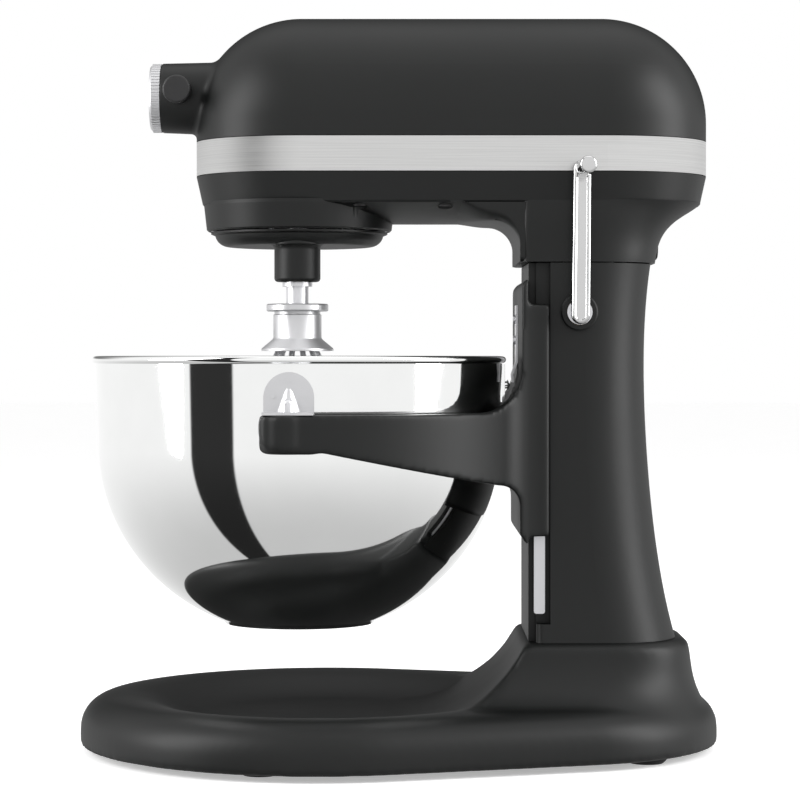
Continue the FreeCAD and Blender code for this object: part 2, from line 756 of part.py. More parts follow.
def ring_gear():
    """Fixed internal gear pressed into the drum."""
    pitch_r = GEAR_MODULE * RING_TEETH / 2
    inner_r = pitch_r - 0.85 * GEAR_MODULE
    outer_r = pitch_r + 1.15 * GEAR_MODULE
    space = tooth_ring(RING_TEETH, outer_r, inner_r, 0, 0.21, 0.39)
    hole = prism_z([(u, BOWL_Y + v) for u, v in space], PLANET_Z0, DRUM_BORE_TOP)
    return rod(DRUM_BORE_R - 0.02, PLANET_Z0, DRUM_BORE_TOP - 1.5, 0, BOWL_Y).cut(hole)


def lift_yoke():
    """Bowl carrier: two arms round the bowl, a front plate and side rails that wrap the column."""
    reach = ARM_OUT_R + RAIL_BLEND
    blend_x = RAIL_OUT + RAIL_BLEND
    blend_y = BOWL_Y + math.sqrt(reach * reach - blend_x * blend_x)
    share = ARM_OUT_R / reach
    leave = (blend_x * share, BOWL_Y + (blend_y - BOWL_Y) * share)
    leave_turn = math.degrees(math.atan2(leave[1] - BOWL_Y, leave[0]))
    blend_turn = math.radians((180 + 180 + leave_turn) / 2)
    blend_via = (blend_x + RAIL_BLEND * math.cos(blend_turn), blend_y + RAIL_BLEND * math.sin(blend_turn))
    tip_out = math.degrees(math.asin((ARM_TIP_Y + 6 - BOWL_Y) / ARM_OUT_R))
    tip_in = math.degrees(math.asin((ARM_TIP_Y + 6 - BOWL_Y) / ARM_IN_R))
    outer_start = on_circle(BOWL_Y, ARM_OUT_R, tip_out)
    inner_start = on_circle(BOWL_Y, ARM_IN_R, tip_in)
    right = [
        (0, BOWL_Y + ARM_IN_R),
        (0, PLATE_REAR),
        (RAIL_IN, PLATE_REAR),
        (RAIL_IN, RAIL_REAR),
        (RAIL_OUT, RAIL_REAR),
        (RAIL_OUT, blend_y),
        (blend_via, leave),
        (on_circle(BOWL_Y, ARM_OUT_R, (leave_turn + tip_out) / 2), outer_start),
        ((outer_start[0] - 1.6, ARM_TIP_Y + 1.4), (outer_start[0] - 6, ARM_TIP_Y)),
        (inner_start[0] + 4, ARM_TIP_Y),
        ((inner_start[0] + 1.2, ARM_TIP_Y + 1.8), inner_start),
        (on_circle(BOWL_Y, ARM_IN_R, (90 + tip_in) / 2), (0, BOWL_Y + ARM_IN_R)),
    ]
    plan = prism_z(right, 118, 276)
    plan = joined(both_sides(plan))
    rise = 24.0
    foot_turn = 12.0
    foot_y = PLATE_FRONT - 1 - foot_turn
    k = math.sqrt(0.5)
    side = prism_x([
        (ARM_TIP_Y, 187),
        (ARM_TIP_Y, ARM_TOP - 4),
        ((ARM_TIP_Y + 1.2, ARM_TOP - 1.2), (ARM_TIP_Y + 4, ARM_TOP)),
        (PLATE_FRONT - rise, ARM_TOP),
        ((PLATE_FRONT - rise + rise * k, ARM_TOP + rise - rise * k), (PLATE_FRONT, ARM_TOP + rise)),
        (PLATE_FRONT, 266),
        (PLATE_REAR + 1, 272.6),
        (90, 272.6),
        (90, 121.8),
        (PLATE_FRONT + 2.5, 121.8),
        (PLATE_FRONT - 1, 127),
        (PLATE_FRONT - 1, 143),
        ((foot_y + foot_turn * k, 143 + foot_turn * k), (foot_y, 155)),
        (-41, 175.2),
        (-46, 174.3),
        (-63, 174.3),
        ((-71.2, 178.2), (ARM_TIP_Y, 187)),
    ], -150, 150)
    body = plan.common(side)
    trims = []
    for z0, z1 in ((255.7, 280), (110, 126)):
        trims += both_sides(box(RAIL_IN - 0.4, 70, PLATE_REAR, 100, z0, z1))
    boss_room = rod(ARM_IN_R, 100, 300, 0, BOWL_Y)
    bosses = []
    for x in (-PIN_X, PIN_X):
        foot = [(0, ARM_LOW), (7, ARM_LOW), (10.4, 178)]
        boss = turned(foot + [(10.4, ARM_TOP - 2), (8.6, ARM_TOP), (0, ARM_TOP)], PIN_Y, x)
        bosses.append(boss.cut(boss_room))
    lug = box(-8.5, 8.5, PLATE_REAR - 0.5, 94, 186, 212)
    body = joined([body.cut(trims), lug] + bosses)
    pin_holes = [rod(PIN_R + 0.02, 186, ARM_TOP + 1, x, PIN_Y) for x in (-PIN_X, PIN_X)]
    return body.cut(pin_holes)


def bowl_pins():
    """Round-nosed pins on the arms that the bowl's brackets drop over."""
    profile = [(0, 186), (PIN_R, 186), (PIN_R, 201.6), ((PIN_R - 0.6, 203), (PIN_R - 2, 203.6)), (0, 203.6)]
    return group([turned(profile, PIN_Y, x) for x in (-PIN_X, PIN_X)])


def bowl_latch_spring():
    """Bent leaf on the yoke's plate that snaps over the stud on the bowl's back."""
    face = PLATE_FRONT - 0.02
    leaf = prism_x([
        (face, 223),
        (face, 256),
        (face - 1, 256),
        (face - 1, 223.4),
        (face - 3.4, 216),
        (face - 3, 211.5),
        (face - 2.2, 211.5),
        (face - 2.5, 215.8),
    ], -9, 9)
    screws = [rod_y(2.6, face - 2.4, face - 1, z) for z in (236, 248)]
    return joined([leaf] + screws)


def lift_rod():
    """Pull bar from the yoke's lug up to the crank, with an eye at the top."""
    pin_z = LEVER_Z + CRANK_R
    bar = box(-5, 5, 94.02, 98, 188, pin_z)
    eye = rod_x(8, -5, 5, LEVER_Y, pin_z)
    seat = box(-8.5, 8.5, 94.02, 97, 186, 212)
    return joined([bar, eye, seat]).cut(rod_x(4, -6, 6, LEVER_Y, pin_z))


def lift_shaft():
    """Lever's shaft from the crank out through the column's side."""
    thick = rod_x(LIFT_SHAFT_R, 8, LEVER_X0 - 0.1, LEVER_Y, LEVER_Z)
    spigot = rod_x(SPIGOT_R, LEVER_X0 - 1, LEVER_X0 + 3, LEVER_Y, LEVER_Z)
    return joined([thick, spigot])


def lift_crank():
    """Inner arm on the shaft, with a short pin that stops beside the pull bar's eye."""
    pin_z = LEVER_Z + CRANK_R
    arm = box(8, 15.5, LEVER_Y - 5, LEVER_Y + 5, LEVER_Z, pin_z)
    ends = [rod_x(11, 8, 15.5, LEVER_Y, LEVER_Z), rod_x(6, 8, 15.5, LEVER_Y, pin_z)]
    ends.append(rod_x(3.5, 5.6, 8, LEVER_Y, pin_z))
    return joined([arm] + ends).cut(rod_x(LIFT_SHAFT_R + 0.01, 7, 17, LEVER_Y, LEVER_Z))


def lift_lever():
    """Bright lever on the column's side: a flat bar with a sunk panel, and a round grip at its top."""
    w = LEVER_HALF_W
    low = LEVER_Z
    bar = prism_x([
        (LEVER_Y - w, low),
        ((LEVER_Y, low - w - 0.6), (LEVER_Y + w, low)),
        (GRIP_Y + w, GRIP_Z),
        ((GRIP_Y, GRIP_Z + w), (GRIP_Y - w, GRIP_Z)),
    ], LEVER_X0, LEVER_X1)
    panel = prism_x([
        (LEVER_Y - w + 2.4, low + 4),
        ((LEVER_Y + 0.2, low + 1.6), (LEVER_Y + w - 2, low + 4)),
        (GRIP_Y + w - 2.2, GRIP_Z - 12),
        (GRIP_Y - w + 2.2, GRIP_Z - 12),
    ], LEVER_X1 - 1, LEVER_X1 + 1)
    grip = rod_x(GRIP_R, LEVER_X0 + 1, GRIP_X1, GRIP_Y, GRIP_Z)
    rims = [e for e in grip.Edges if e.BoundBox.XMin > GRIP_X1 - 0.01]
    grip = grip.makeFillet(1.6, rims)
    bore = rod_x(SPIGOT_R + 0.02, LEVER_X0, LEVER_X0 + 3.1, LEVER_Y, LEVER_Z)
    return joined([bar.cut(panel), grip]).cut(bore)


def bowl_profile_foot(a, b, r0):
    """Point at radius r0 on the bowl's ellipse."""
    return (r0, BOWL_MID_Z - b * math.sin(math.acos(r0 / a)))


def ellipse_edge(a, b, r0, y):
    """Edge of the bowl's lower curve from radius r0 out to the wall."""
    whole = Part.Ellipse(V(a, y, BOWL_MID_Z), V(0, y, BOWL_MID_Z - b), V(0, y, BOWL_MID_Z))
    if b > a:
        raise ValueError("the bowl's ellipse is wider than deep")
    turn0 = math.acos(r0 / a)
    start = whole.parameter(V(a, y, BOWL_MID_Z))
    end = whole.parameter(V(r0, y, BOWL_MID_Z - b * math.sin(turn0)))
    return Part.ArcOfEllipse(whole, start, end).toShape()


def bowl():
    """Spun steel bowl with a rolled rim and a flat foot."""
    y = BOWL_Y
    a2 = BOWL_A - BOWL_WALL
    b2 = BOWL_B - BOWL_WALL
    foot_r = BOWL_BASE_R + 2
    outer_low = bowl_profile_foot(BOWL_A, BOWL_B, foot_r)
    inner_low = bowl_profile_foot(a2, b2, foot_r)
    rim_foot = BOWL_RIM_Z - RIM_R

    def p(r, z):
        return V(r, y, z)

    def line(m, n):
        return Part.LineSegment(p(*m), p(*n)).toShape()

    rim_out = (BOWL_TOP_R + RIM_R, BOWL_RIM_Z)
    rim_top = (BOWL_TOP_R, BOWL_RIM_Z + RIM_R)
    rim_via = (BOWL_TOP_R + RIM_R * 0.707, BOWL_RIM_Z + RIM_R * 0.707)
    rim_low = (BOWL_TOP_R + RIM_R * 0.707, BOWL_RIM_Z - RIM_R * 0.707)
    edges = [
        line((0, BOWL_BASE_Z), (BOWL_BASE_R, BOWL_BASE_Z)),
        line((BOWL_BASE_R, BOWL_BASE_Z), outer_low),
        ellipse_edge(BOWL_A, BOWL_B, foot_r, y),
        line((BOWL_A, BOWL_MID_Z), (BOWL_TOP_R, rim_foot)),
        Part.Arc(p(BOWL_TOP_R, rim_foot), p(*rim_low), p(*rim_out)).toShape(),
        Part.Arc(p(*rim_out), p(*rim_via), p(*rim_top)).toShape(),
        line(rim_top, (BOWL_TOP_R - BOWL_WALL, BOWL_RIM_Z + 1.4)),
        line((BOWL_TOP_R - BOWL_WALL, BOWL_RIM_Z + 1.4), (BOWL_TOP_R - BOWL_WALL, rim_foot)),
        line((BOWL_TOP_R - BOWL_WALL, rim_foot), (a2, BOWL_MID_Z)),
        ellipse_edge(a2, b2, foot_r, y),
        line(inner_low, (BOWL_BASE_R, BOWL_BASE_Z + BOWL_WALL)),
        line((BOWL_BASE_R, BOWL_BASE_Z + BOWL_WALL), (0, BOWL_BASE_Z + BOWL_WALL)),
        line((0, BOWL_BASE_Z + BOWL_WALL), (0, BOWL_BASE_Z)),
    ]
    wire = Part.Wire(Part.__sortEdges__(edges))
    return Part.Face(wire).revolve(V(0, y, 0), Z_AXIS, 360)


def bowl_side_brackets():
    """Pressed brackets on the bowl's sides: round-topped plate, foot with the pin's hole, raised channel."""
    half = BRACKET_W / 2
    y = PIN_Y
    wall_r = BOWL_TOP_R + 0.05
    straight_top = BRACKET_TOP - half
    shape = prism_x([
        (y - half, ARM_TOP + 0.05),
        (y - half, straight_top),
        ((y, BRACKET_TOP), (y + half, straight_top)),
        (y + half, ARM_TOP + 0.05),
    ], 100, 140)
    plate = ring_z(wall_r + 1.5, wall_r, ARM_TOP, BRACKET_TOP, 0, BOWL_Y).common(shape)
    foot = box(wall_r, PIN_X + 8, y - half, y + half, ARM_TOP + 0.05, ARM_TOP + 1.6)
    foot = foot.cut(rod(wall_r + 0.5, ARM_TOP - 1, ARM_TOP + 3, 0, BOWL_Y))
    channel = Part.makeCone(6.5, 2.2, 13, V(wall_r - 0.5, y, ARM_TOP + 1), Z_AXIS)
    channel = channel.cut(rod(wall_r + 0.5, ARM_TOP - 5, BRACKET_TOP, 0, BOWL_Y))
    spots = ((-8.5, 205), (8.5, 205), (0, 213.5))
    welds = [rod_x(1.1, wall_r - 1, wall_r + 1.9, y + dy, z) for dy, z in spots]
    welds = [w.cut(rod(wall_r + 0.5, 190, 230, 0, BOWL_Y)) for w in welds]
    bracket = joined([plate, foot, channel] + welds)
    bracket = bracket.cut(rod(PIN_R + 0.4, ARM_TOP - 1, ARM_TOP + 3, PIN_X, y))
    return group(both_sides(bracket))


def bowl_rear_clip():
    """Strip with a round stud on the bowl's back, for the latch."""
    wall_r = BOWL_TOP_R + 0.05
    strip = ring_z(wall_r + 1.6, wall_r, 200, 222, 0, BOWL_Y).common(box(-11, 11, 40, 80, 190, 230))
    foot = box(-11, 11, BOWL_Y + wall_r + 0.5, BOWL_Y + wall_r + 3.6, 200, 201.6)
    stud = turned_y([(0, BOWL_Y + wall_r + 1), (2.2, BOWL_Y + wall_r + 1), (2.2, BOWL_Y + wall_r + 2.6),
                     (3.2, BOWL_Y + wall_r + 3.2), (0, BOWL_Y + wall_r + 4.6)], 210)
    return joined([strip, foot, stud])


def armature_shaft():
    return rod_y(MOTOR_SHAFT_R, 16.5, 152, MOTOR_Z)


def armature_core():
    """Slotted laminations on the motor's shaft."""
    core = rod_y(ARMATURE_R, STATOR_Y0 + 2, STATOR_Y1 - 2, MOTOR_Z)
    slots = []
    for k in range(12):
        slot = box(-1.6, 1.6, STATOR_Y0, STATOR_Y1, MOTOR_Z + 14, MOTOR_Z + 24)
        slot.rotate(V(0, 0, MOTOR_Z), Y_AXIS, 30 * k)
        slots.append(slot)
    return core.cut(slots + [rod_y(MOTOR_SHAFT_R, 0, 200, MOTOR_Z)])


def commutator():
    """Copper cylinder with its riser collar."""
    body = joined([rod_y(13, 107, 124, MOTOR_Z), rod_y(15.5, 103, 107, MOTOR_Z)])
    return body.cut(rod_y(MOTOR_SHAFT_R, 0, 200, MOTOR_Z))


def cooling_fan():
    """Radial fan behind the rear bracket: a disc with straight vanes."""
    disc = rod_y(30, 141, 143, MOTOR_Z)
    hub = rod_y(9, 139.5, 151, MOTOR_Z)
    vanes = []
    for k in range(9):
        vane = box(-0.8, 0.8, 142, 151, MOTOR_Z + 8, MOTOR_Z + 29)
        vane.rotate(V(0, 0, MOTOR_Z), Y_AXIS, 40 * k)
        vanes.append(vane)
    return joined([disc, hub] + vanes).cut(rod_y(MOTOR_SHAFT_R, 0, 200, MOTOR_Z))


def facing_bevel(gear, front_y, z, toward_rear):
    """Lay a bevel gear on a Y axis with its apex at (front_y, z)."""
    gear.rotate(V(0, 0, 0), X_AXIS, 90 if toward_rear else -90)
    gear.translate(V(0, front_y, z))
    return gear


def armature_pinion():
    """Small bevel pinion on the motor's shaft, over the lay gear."""
    gear = bevel(MOTOR_TEETH, LAY_BEVEL_TEETH, MOTOR_MODULE, math.pi / 2 + math.pi / MOTOR_TEETH)
    gear = facing_bevel(gear, LAY_Y, MOTOR_Z, True)
    outer_y = LAY_Y + MOTOR_MODULE * LAY_BEVEL_TEETH / 2
    neck = rod_y(6.6, outer_y, outer_y + 3.5, MOTOR_Z)
    return joined([gear, neck]).cut(rod_y(MOTOR_SHAFT_R, 16.5, 40, MOTOR_Z))


def lay_shaft():
    """Upright shaft between the motor's bevel gear and the centre gear."""
    return rod(LAY_SHAFT_R, 317.2, 351, 0, LAY_Y)


def lay_bevel_gear():
    gear = bevel(LAY_BEVEL_TEETH, MOTOR_TEETH, MOTOR_MODULE, math.pi / 2)
    gear.translate(V(0, LAY_Y, MOTOR_Z))
    low = MOTOR_Z - MOTOR_MODULE * MOTOR_TEETH / 2
    hub = rod(16, low - 6, low, 0, LAY_Y)
    return joined([gear, hub]).cut(rod(LAY_SHAFT_R, 300, 351, 0, LAY_Y))


def lay_pinion():
    low = CENTRE_GEAR_Z - 1
    gear = spur(LAY_TEETH, GEAR_MODULE, low, low + CENTRE_GEAR_H + 2, 0, LAY_Y, -math.pi / 2)
    return gear.cut(rod(LAY_SHAFT_R, 300, 351, 0, LAY_Y))


def centre_shaft():
    """Upright main shaft that carries the planetary dish."""
    return rod(CENTRE_SHAFT_R, 293, 371, 0, BOWL_Y)


def centre_gear():
    """Large gear on the main shaft, with a raised hub and round windows."""
    top = CENTRE_GEAR_Z + CENTRE_GEAR_H
    half_tooth = math.pi / CENTRE_TEETH
    gear = spur(CENTRE_TEETH, GEAR_MODULE, CENTRE_GEAR_Z, top, 0, BOWL_Y, math.pi / 2 + half_tooth)
    hub = rod(14, CENTRE_GEAR_Z - 2, top + 3, 0, BOWL_Y)
    windows = [rod(5.5, 300, 360, *on_circle(BOWL_Y, 23, 60 * k)) for k in range(6)]
    return joined([gear, hub]).cut(windows + [rod(CENTRE_SHAFT_R, 300, 380, 0, BOWL_Y)])


def hub_crown_gear():
    """Bevel gear on top of the main shaft that turns the attachment hub."""
    gear = bevel(CROWN_TEETH, HUB_TEETH, GEAR_MODULE, -math.pi / 2)
    gear.translate(V(0, BOWL_Y, HUB_Z))
    low = HUB_Z - GEAR_MODULE * HUB_TEETH / 2
    hub = rod(15, low - 5.5, low, 0, BOWL_Y)
    return joined([gear, hub]).cut(rod(CENTRE_SHAFT_R, 300, 380, 0, BOWL_Y))


def planetary_carrier():
    """Turning dish under the head, with the boss that holds the beater's shaft off centre."""
    dish = turned([(0, 290), (40, 290), ((45.6, 291.4), (48.6, 296)), (51, 297), (51, 298), (0, 298)], BOWL_Y)
    boss = turned([
        (0, BOSS_Z0),
        (BOSS_R - 2, BOSS_Z0),
        ((BOSS_R - 0.6, BOSS_Z0 + 0.6), (BOSS_R, BOSS_Z0 + 2)),
        (BOSS_R, 287),
        ((BOSS_R + 0.9, 289.1), (BOSS_R + 3, 290)),
        (BOSS_R + 3, 296),
        (0, 296),
    ], BOWL_Y, BEATER_OFFSET)
    weight = rod(16, 292, 298, -24, BOWL_Y)
    body = joined([dish, boss, weight])
    bore = rod(9.02, BOSS_Z0 - 1, 299, BEATER_OFFSET, BOWL_Y)
    return body.cut([bore, rod(CENTRE_SHAFT_R, 293, 300, 0, BOWL_Y)])


def beater_bushes():
    spans = ((269.2, 279), (288, 298))
    return group([ring_z(9, BEATER_SHAFT_R + RUN, z0, z1, BEATER_OFFSET, BOWL_Y) for z0, z1 in spans])


def beater_shaft():
    """Steel stub with a cross pin that the whisk locks on."""
    shaft = rod(BEATER_SHAFT_R, 240, PLANET_Z0 + PLANET_H + 1, BEATER_OFFSET, BOWL_Y)
    pin = rod_x(1.8, BEATER_OFFSET - 9.5, BEATER_OFFSET + 9.5, BOWL_Y, 246)
    return joined([shaft, pin])


def shaft_washer():
    return ring_z(8.5, BEATER_SHAFT_R + 0.01, 266.2, 268.4, BEATER_OFFSET, BOWL_Y)


def planet_pinion():
    """Pinion on the beater's shaft that rolls inside the ring gear."""
    gear = spur(PLANET_TEETH, GEAR_MODULE, PLANET_Z0 + 0.2, PLANET_Z0 + PLANET_H, BEATER_OFFSET, BOWL_Y, 0)
    return gear.cut(rod(BEATER_SHAFT_R, 290, 320, BEATER_OFFSET, BOWL_Y))


def wire_turn(k):
    """Heading of a wire end about the whisk's axis, in radians."""
    return math.radians(180.0 / WHISK_LOOPS * k + 15)


def wire_hole(k):
    """Sloped hole in the hub that takes one wire end."""
    out = WIRE_WIDE_R - WIRE_START_R
    down = WIRE_WIDE_Z - WIRE_START_Z
    along = V(math.cos(wire_turn(k)), math.sin(wire_turn(k)), 0)
    slope = along * out + V(0, 0, down)
    slope.normalize()
    start = V(BEATER_OFFSET, BOWL_Y, WIRE_START_Z) + along * WIRE_START_R
    return Part.makeCylinder(WIRE_R + 0.02, 12, start - slope * 0.1, slope)


def whisk_hub():
    """Turned hub of the whisk: flange, groove, body and the skirt that holds the wires."""
    profile = [
        (BEATER_SHAFT_R + 0.05, 256.3),
        (16.8, 256.3),
        (17.6, 255.4),
        (17.6, 252.6),
        (16.8, 251.8),
        (13, 251.8),
        (13, 250.7),
        (14, 250.2),
        (14, 238.5),
        ((14.8, 235.8), (17.4, 233.6)),
        (20.5, 231.4),
        (20.5, 229.6),
        (0, 229.6),
        (0, 239.6),
        (BEATER_SHAFT_R + 0.05, 239.6),
    ]
    body = turned(profile, BOWL_Y, BEATER_OFFSET)
    slot = box(BEATER_OFFSET - 20, BEATER_OFFSET + 20, BOWL_Y - 2.2, BOWL_Y + 2.2, 243.8, 248.4)
    return body.cut([slot] + [wire_hole(k) for k in range(2 * WHISK_LOOPS)])


def rounded_path(corners, radii, place):
    """Open wire of straight runs joined by tangent arcs at the inner corners."""
    edges = []
    here = corners[0]
    for before, corner, after, radius in zip(corners, corners[1:], corners[2:], radii):
        run_in = math.dist(before, corner)
        run_out = math.dist(corner, after)
        a = ((before[0] - corner[0]) / run_in, (before[1] - corner[1]) / run_in)
        b = ((after[0] - corner[0]) / run_out, (after[1] - corner[1]) / run_out)
        half = math.acos(a[0] * b[0] + a[1] * b[1]) / 2
        cut = radius / math.tan(half)
        p = (corner[0] + a[0] * cut, corner[1] + a[1] * cut)
        q = (corner[0] + b[0] * cut, corner[1] + b[1] * cut)
        to_mid = math.hypot(a[0] + b[0], a[1] + b[1])
        dip = radius / math.sin(half) - radius
        m = (corner[0] + (a[0] + b[0]) / to_mid * dip, corner[1] + (a[1] + b[1]) / to_mid * dip)
        edges.append(Part.LineSegment(place(*here), place(*p)).toShape())
        edges.append(Part.Arc(place(*p), place(*m), place(*q)).toShape())
        here = q
    edges.append(Part.LineSegment(place(*here), place(*corners[-1])).toShape())
    return Part.Wire(edges)


def whisk_wires():
    """Wire loops fanned round the whisk's axis, each passing the bottom a wire's width above the last."""
    wires = []
    for k in range(WHISK_LOOPS):
        turn = wire_turn(k)
        low = WHISK_LOW_Z + k * (2 * WIRE_R + 0.5)

        def place(u, v):
            return V(BEATER_OFFSET + u * math.cos(turn), BOWL_Y + u * math.sin(turn), v)

        half = [(-WIRE_START_R, WIRE_START_Z), (-WIRE_WIDE_R, WIRE_WIDE_Z), (-30, low)]
        corners = half + [(-u, v) for u, v in reversed(half)]
        path = rounded_path(corners, (40, 36, 36, 40), place)
        start = path.Edges[0]
        first = start.FirstParameter
        section = Part.Wire(Part.makeCircle(WIRE_R, start.valueAt(first), start.tangentAt(first)))
        wires.append(path.makePipeShell([section], True, False))
    return group(wires)


def hub_drive_shaft():
    """Hub's shaft with a square socket for attachments."""
    shaft = rod_y(8, HUB_BORE_END - 3, -79, HUB_Z)
    collar = rod_y(10.5, -90.4, -87, HUB_Z)
    half = 4.2
    socket = box(-half, half, HUB_BORE_END - 4, HUB_BORE_END + 16, HUB_Z - half, HUB_Z + half)
    return joined([shaft, collar]).cut(socket)


def hub_bevel_pinion():
    gear = bevel(HUB_TEETH, CROWN_TEETH, GEAR_MODULE, math.pi / 2 + math.pi / HUB_TEETH)
    gear = facing_bevel(gear, BOWL_Y, HUB_Z, False)
    outer_y = BOWL_Y - GEAR_MODULE * CROWN_TEETH / 2
    neck = rod_y(9.4, outer_y - 6, outer_y, HUB_Z)
    return joined([gear, neck]).cut(rod_y(8, -120, -79, HUB_Z))


def hub_cap():
    """Bright plug of the attachment hub with a finely ribbed rim."""
    plug = rod_y(HUB_BORE_R - RUN, SNOUT_FRONT - 0.2, SNOUT_FRONT + 18, HUB_Z)
    ribs = tooth_ring(60, 19.8, 19.3, 0, 0.18, 0.32)
    rim = prism_y([(u, HUB_Z + v) for u, v in ribs], CAP_FRONT + 1.2, SNOUT_FRONT - 0.2)
    face = turned_y([(0, CAP_FRONT), (18.2, CAP_FRONT), (19.2, CAP_FRONT + 1.3), (0, CAP_FRONT + 1.3)], HUB_Z)
    return joined([plug, rim, face])


def hub_knob():
    """Round clamp knob on the hub's side, with its screw."""
    reach = math.sqrt(HUB_BORE_R ** 2 - (KNOB_Z - HUB_Z) ** 2) + 0.6
    screw = rod_x(4, reach, 24, KNOB_Y, KNOB_Z)
    neck = rod_x(5, 21, 24, KNOB_Y, KNOB_Z)
    head = rod_x(KNOB_R, 22.4, 32, KNOB_Y, KNOB_Z)
    head = head.makeFillet(1.4, [e for e in head.Edges if abs(e.BoundBox.XMin - 32) < 0.01])
    return joined([screw, neck, head])


def speed_lever():
    """Speed slider on the far side of the head: a rounded knob on a flat stem through the wall."""
    stem = box(-62, -46.6, SPEED_Y - 4, SPEED_Y + 4, SPEED_Z - 2, SPEED_Z + 2)
    knob = prism_z(post_outline(6, -7, 7, 3, 3), SPEED_Z - 5, SPEED_Z + 5)
    knob.translate(V(-64, SPEED_Y, 0))
    return joined([stem, knob])


def speed_link():
    """Flat bar inside the head that carries the slider's setting back to the board."""
    bar = box(-46.58, -44, SPEED_Y - 4, SPEED_Y + 40, SPEED_Z - 3, SPEED_Z + 3)
    return bar.cut(rod_x(1.8, -50, -40, SPEED_Y + 34, SPEED_Z))


PIECES = [
    base_casting, rubber_feet, column, column_bolts, guide_rails, lift_bushes, lower_housing, head_bolts,
    upper_housing, housing_screws, trim_band, cord_grommet, control_board, stator_core, field_coils,
    motor_brackets, motor_bearings, brush_holders, carbon_brushes, lay_bearings, centre_bearings, hub_bearing,
    ring_gear, lift_yoke, bowl_pins, bowl_latch_spring, lift_rod, lift_shaft, lift_crank, lift_lever, bowl,
    bowl_side_brackets, bowl_rear_clip, armature_shaft, armature_core, commutator, cooling_fan,
    armature_pinion, lay_shaft, lay_bevel_gear, lay_pinion, centre_shaft, centre_gear, hub_crown_gear, planetary_carrier,
    beater_bushes, beater_shaft, shaft_washer, planet_pinion, whisk_hub, whisk_wires, hub_drive_shaft,
    hub_bevel_pinion, hub_cap, hub_knob, speed_lever, speed_link,
]


def main():
    os.makedirs("parts", exist_ok=True)
    for make in PIECES:
        shape = make()
        if not shape.isValid() or shape.Volume <= 0:
            raise ValueError(make.__name__ + " is not a sound solid")
        shape.exportStep("parts/" + make.__name__ + ".step")
        print(make.__name__, len(shape.Solids), round(shape.Volume / 1000, 2), "cm3")


main()
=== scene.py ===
"""Looks of a bowl-lift stand mixer: finishes, smooth outer pieces and a white studio round its frame."""

import json
import math

import bmesh
import bpy
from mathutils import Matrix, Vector


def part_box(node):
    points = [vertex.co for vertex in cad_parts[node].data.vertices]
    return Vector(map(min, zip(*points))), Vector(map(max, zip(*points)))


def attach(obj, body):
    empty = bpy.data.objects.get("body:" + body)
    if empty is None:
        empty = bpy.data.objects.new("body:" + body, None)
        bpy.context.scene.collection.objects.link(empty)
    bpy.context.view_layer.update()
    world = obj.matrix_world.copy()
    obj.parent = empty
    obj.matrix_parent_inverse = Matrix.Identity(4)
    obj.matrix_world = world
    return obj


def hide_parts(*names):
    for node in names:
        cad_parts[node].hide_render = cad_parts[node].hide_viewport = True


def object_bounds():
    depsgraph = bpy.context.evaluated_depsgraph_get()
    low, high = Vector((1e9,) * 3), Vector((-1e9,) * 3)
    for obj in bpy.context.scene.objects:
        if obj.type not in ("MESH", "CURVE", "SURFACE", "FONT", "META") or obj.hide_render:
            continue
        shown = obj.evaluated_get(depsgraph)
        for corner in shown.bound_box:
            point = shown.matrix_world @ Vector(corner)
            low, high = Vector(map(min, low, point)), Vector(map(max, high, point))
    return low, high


bl_info = {
    "name": "Stand mixer looks",
    "version": (1, 0, 0),
    "blender": (4, 5, 0),
    "location": "View3D > Sidebar > Mixer",
    "description": "Finishes, outer pieces and studio of a bowl-lift stand mixer",
    "category": "Object",
}

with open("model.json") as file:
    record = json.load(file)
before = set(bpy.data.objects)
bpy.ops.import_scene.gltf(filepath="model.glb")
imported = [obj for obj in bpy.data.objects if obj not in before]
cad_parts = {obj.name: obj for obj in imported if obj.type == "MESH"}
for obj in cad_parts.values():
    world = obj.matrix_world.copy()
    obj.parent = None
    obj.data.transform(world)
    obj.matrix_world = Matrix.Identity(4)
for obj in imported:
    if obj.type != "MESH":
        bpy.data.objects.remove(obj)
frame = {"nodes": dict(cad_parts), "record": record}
CAD_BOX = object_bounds()
NODES = frame["nodes"]
MM = 0.001
FLOOR_LIFT = 0.4
SHARP_ANGLE = math.radians(35)
NOISE_LOW, NOISE_HIGH = 0.3, 0.7
EDGE_FROM, EDGE_TO = 0.5, 0.95
ALONG_X, ALONG_Z = 0, 2
LAMP_TARGET = Vector((0, 0, 0.2))

BOWL_LOW, BOWL_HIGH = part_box("bowl")
BOWL_MIDDLE = (BOWL_LOW + BOWL_HIGH) / 2
LEVER_LOW, LEVER_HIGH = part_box("lift_lever")
HUB_LOW, HUB_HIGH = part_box("whisk_hub")
HUB_MIDDLE = (HUB_LOW + HUB_HIGH) / 2
RAIL_LOW, RAIL_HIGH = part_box("guide_rails")
YOKE_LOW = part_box("lift_yoke")[0]
TOP_LOW, TOP_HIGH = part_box("upper_housing")
HOUSING_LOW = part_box("lower_housing")[0]
BAND_LOW, BAND_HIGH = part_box("trim_band")
CAP_LOW, CAP_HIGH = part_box("hub_cap")
JOINTS = {joint["name"]: joint for joint in frame["record"]["behaviour"]["joints"]}
PIVOT = Vector(JOINTS["lift_lever_turn"]["pos_m"])

# Half section of the whisk's hub: radius and height above its foot, in millimetres.
HUB_SECTION = (
    (0, 10), (6.36, 10), (6.36, 26.7), (16.9, 26.7), (17.6, 26.0), (17.6, 23.2), (16.9, 22.5), (13.0, 22.4),
    (13.0, 20.9), (13.7, 20.4), (13.7, 7.6), (14.2, 6.6), (20.2, 1.6), (20.5, 1.0), (20.5, 0), (0, 0))
